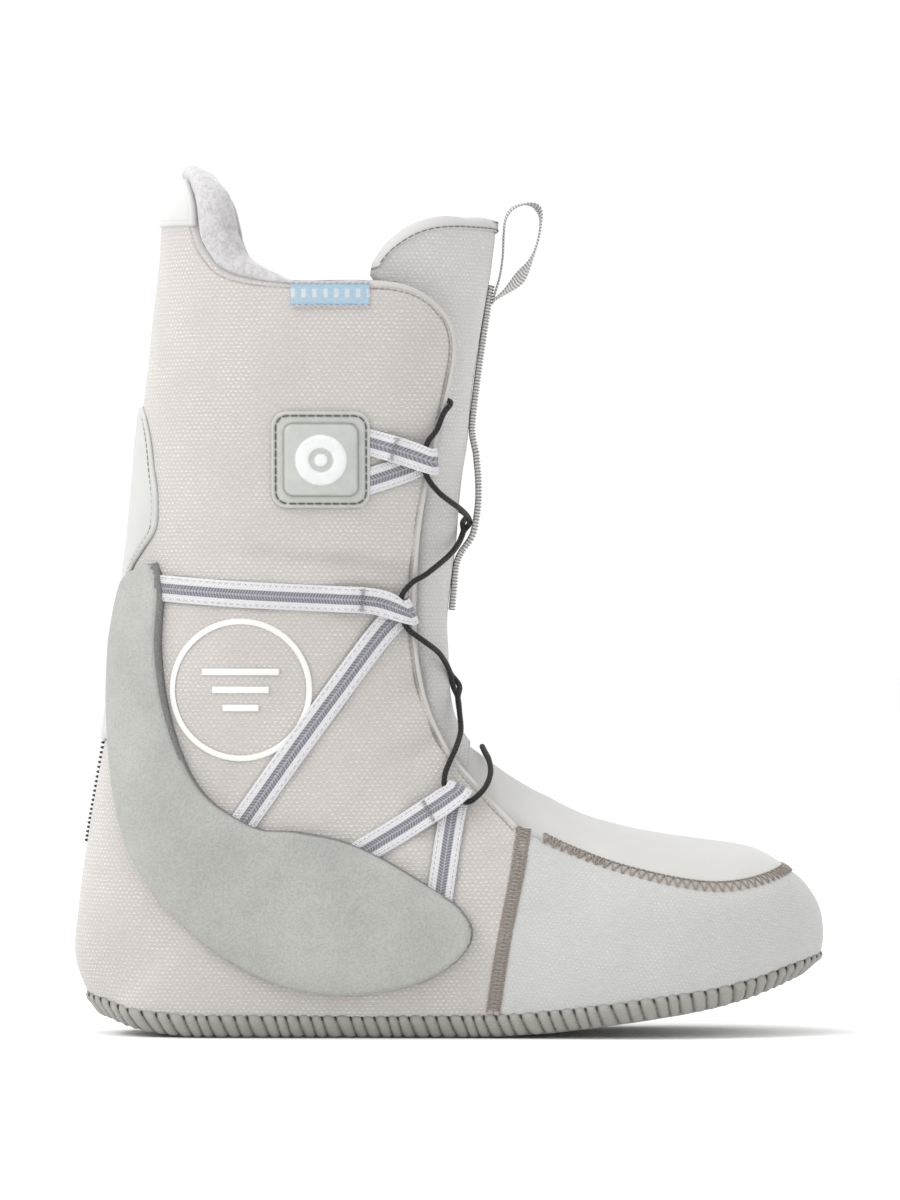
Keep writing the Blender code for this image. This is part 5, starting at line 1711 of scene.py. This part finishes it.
def welt_face():
    """The welt's line, its directions outwards, and its outer face and lumps at each level."""
    heights, crevice, lump, lump_shift, gap_shift = np.array(WELT_LEVELS).T
    coarse, out = sole_outline(180)
    reach = np.stack([shell_reach(coarse, out, height) for height in heights], 1)
    for _ in range(3):
        reach = (np.roll(reach, 1, 0) + 2 * reach + np.roll(reach, -1, 0)) / 4
    run = run_along(np.concatenate([coarse, coarse[:1]]))
    spots = np.linspace(0, run[-1], int(run[-1] / 0.4), endpoint=False)
    loop, away, far = (
        round_loop(values, run, spots) for values in (coarse, out, np.minimum(reach, 9.0)))
    turn = 2 * math.pi * spots / run[-1]
    lumps = round(run[-1] / WELT_PITCH)
    phase = spots / run[-1] * lumps + 0.12 * np.sin(17 * turn) + 0.07 * np.sin(41 * turn + 1)
    leaning = phase[:, None] - WELT_SLANT * heights / WELT_HEIGHT
    swell = np.abs(np.sin(math.pi * leaning)) ** 0.6
    size = 0.9 + 0.2 * np.sin(23 * turn) * np.sin(9 * turn)
    outside = far + crevice + 2.0 * swell * size[:, None] * lump
    rise = heights + lump_shift * swell + gap_shift * (1 - swell)
    return spots, loop, unit(away), far, outside, rise, leaning, swell


def make_welt(look, thread, dark):
    """Whip-stitched joint of upper and sole: a row of puckered lumps with a stitch between each."""
    spots, loop, away, far, outside, rise, leaning, swell = welt_face()
    inner_away = np.stack([far[:, 5] - 3.0, far[:, 3] - 3.6, far[:, 0] - 2.6], 1)
    inner_rise = np.broadcast_to([7.0, 4.0, 1.0], inner_away.shape)
    reach = np.concatenate([outside, inner_away], 1)
    level = np.concatenate([rise, inner_rise], 1) + sole_height(loop[:, 0])[:, None]
    plan = loop[:, None] + away[:, None] * reach[..., None]
    rings = np.concatenate([plan, np.maximum(level, 0.15)[..., None]], 2)
    across = np.broadcast_to(np.arange(rings.shape[1]) * 1.6, rings.shape[:2])
    flats = np.stack(np.broadcast_arrays(spots[:, None], across), -1)
    piece = rings_mesh("sole_welt", rings, flats, look, closed=True)
    # Painted shade in the crevices between the lumps, set through the tone.
    attribute = piece.data.attributes.new("tone", "FLOAT", "POINT")
    tone = np.concatenate([-1.1 * (1 - swell) ** 1.4, inner_rise * 0], 1)
    attribute.data.foreach_set("value", tone.ravel().astype(np.float32))
    settle(piece, "root", "welt_fabric", "sole_welt")
    lines, hole_shades = [], []
    for number in range(round(spots[-1] / WELT_PITCH)):
        line = []
        for k, raised in ((0, 0.15), (1, 0.1), (3, 0.1), (5, 0.25), (6, 0.55), (6, -0.3)):
            near = int(np.argmin(np.abs(leaning[:, k] - number)))
            place = loop[near] + away[near] * (outside[near, k] + raised)
            line.append((*place, max(level[near, k] + 0.25 * (k == 6), 0.5)))
        lines.append(resample(np.array(line), 9))
        # Thick dark brown blobs at each stitch's end: painted shade of the stitch holes.
        hole_shades.append(lines[-1][-3:] + (0, 0, 0.2))
    sew("welt_stitches", lines, 0.24, thread)
    sew("welt_stitch_hole_shade", hole_shades, 0.45, dark)


def make_footbed(look):
    """Loose moulded insole with a raised rim."""
    share = (1 - np.cos(math.pi * np.linspace(0.1, 0.93, 80))) / 2
    row = smooth_at(STATIONS, SOLE_START + (SOLE_END - SOLE_START) * share)
    across = 2 * spread(30) - 1
    half = np.maximum(row[:, 5] - 6.6, 1.5)
    x = np.broadcast_to(row[:, 2:3], (80, 30))
    y = row[:, 6:7] + half[:, None] * across
    z = sole_height(x) + SOLE_THICK + 2.4
    points = np.stack([x, y, z], -1)
    normals = np.zeros_like(points)
    normals[..., 2] = 1.0

    def relief(points, gap):
        cup = 0.9 * bell(gap, 5) * ramp(-points[:, 0], 0, 60)
        return cup + 0.25 * soft_noise(points, 18)

    piece = pad("footbed", [(points, normals)], 0.05, 3.4, [look], [grid_rim(points)], 1.2, relief,
                up=(0, 1, 0))
    settle(piece, "footbed", "footbed_foam", "footbed")


def main():
    make_stage()
    make_lace(braid_look("black_cord", paint(20, 19, 20), paint(48, 46, 48), 3.2))
    thread = {name: thread_look("thread_" + name, paint(*rgb)) for name, rgb in THREADS.items()}
    cloth = {name: plain_cloth(name, paint(*rgb), *rest) for name, (rgb, *rest) in CLOTHS.items()}
    mesh = {
        name: dash_weave(name, paint(*ground), paint(*dash), *rest)
        for name, (ground, dash, *rest) in MESHES.items()
    }
    foam = speckled_foam("speckled_foam", paint(183, 184, 179), paint(172, 173, 168))
    # Darker copy of the foam, with coarser grain, for the J-bars' walls: painted shade.
    foam_wall_shade = speckled_foam("speckled_foam_wall_shade", paint(150, 150, 148), paint(134, 134, 132), 0.5)
    fleece = fleece_look("fleece", paint(210, 208, 209), paint(188, 186, 188))
    webbing = webbing_look("webbing", paint(243, 242, 245), paint(128, 127, 138), 1.1)
    tape = rib_look("ribbed_tape", paint(228, 227, 224), paint(150, 148, 146))
    leather = leather_look("patch_leather", paint(199, 200, 195), paint(220, 222, 217), 0.5)
    soft = leather_look("patch_cushion", paint(196, 198, 193), paint(238, 240, 240), 0.35)
    backing = cloth["backing"]
    make_quarters(mesh["mesh_fabric"], backing)
    make_toe_panel(mesh["toe_mesh"], backing)
    make_vamp(cloth["stretch_fabric"])
    make_tongue(mesh["tongue_mesh"], backing)
    make_binding(cloth["binding"], thread["umber"])
    make_gussets(mesh["tongue_mesh"], backing)
    make_tape(tape)
    make_pull_loop(tape)
    make_heel_overlay(cloth["smooth_overlay"], thread["taupe"])
    make_collar_tab(cloth["white_tab"])
    make_ring(cloth["raised_print"])
    make_j_bars(foam, foam_wall_shade)
    make_patch_base(leather, thread["grey_green"])
    make_patch_cushion(soft)
    make_label(label_look("woven_label"), thread["white"])
    make_lace_loops(webbing, thread["white"])
    make_seams(thread["taupe"], thread["black"], cloth["piping"], cloth["seam_cloth"])
    make_collar_lining(fleece)
    make_inner_lining(fleece)
    make_welt(cloth["welt_fabric"], thread["umber"], thread["hole_shade_brown"])
    make_footbed(cloth["footbed_foam"])
    for node, look in (("sole_board", foam), ("insole_board", backing)):
        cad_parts[node].data.materials.clear()
        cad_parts[node].data.materials.append(look)


main()
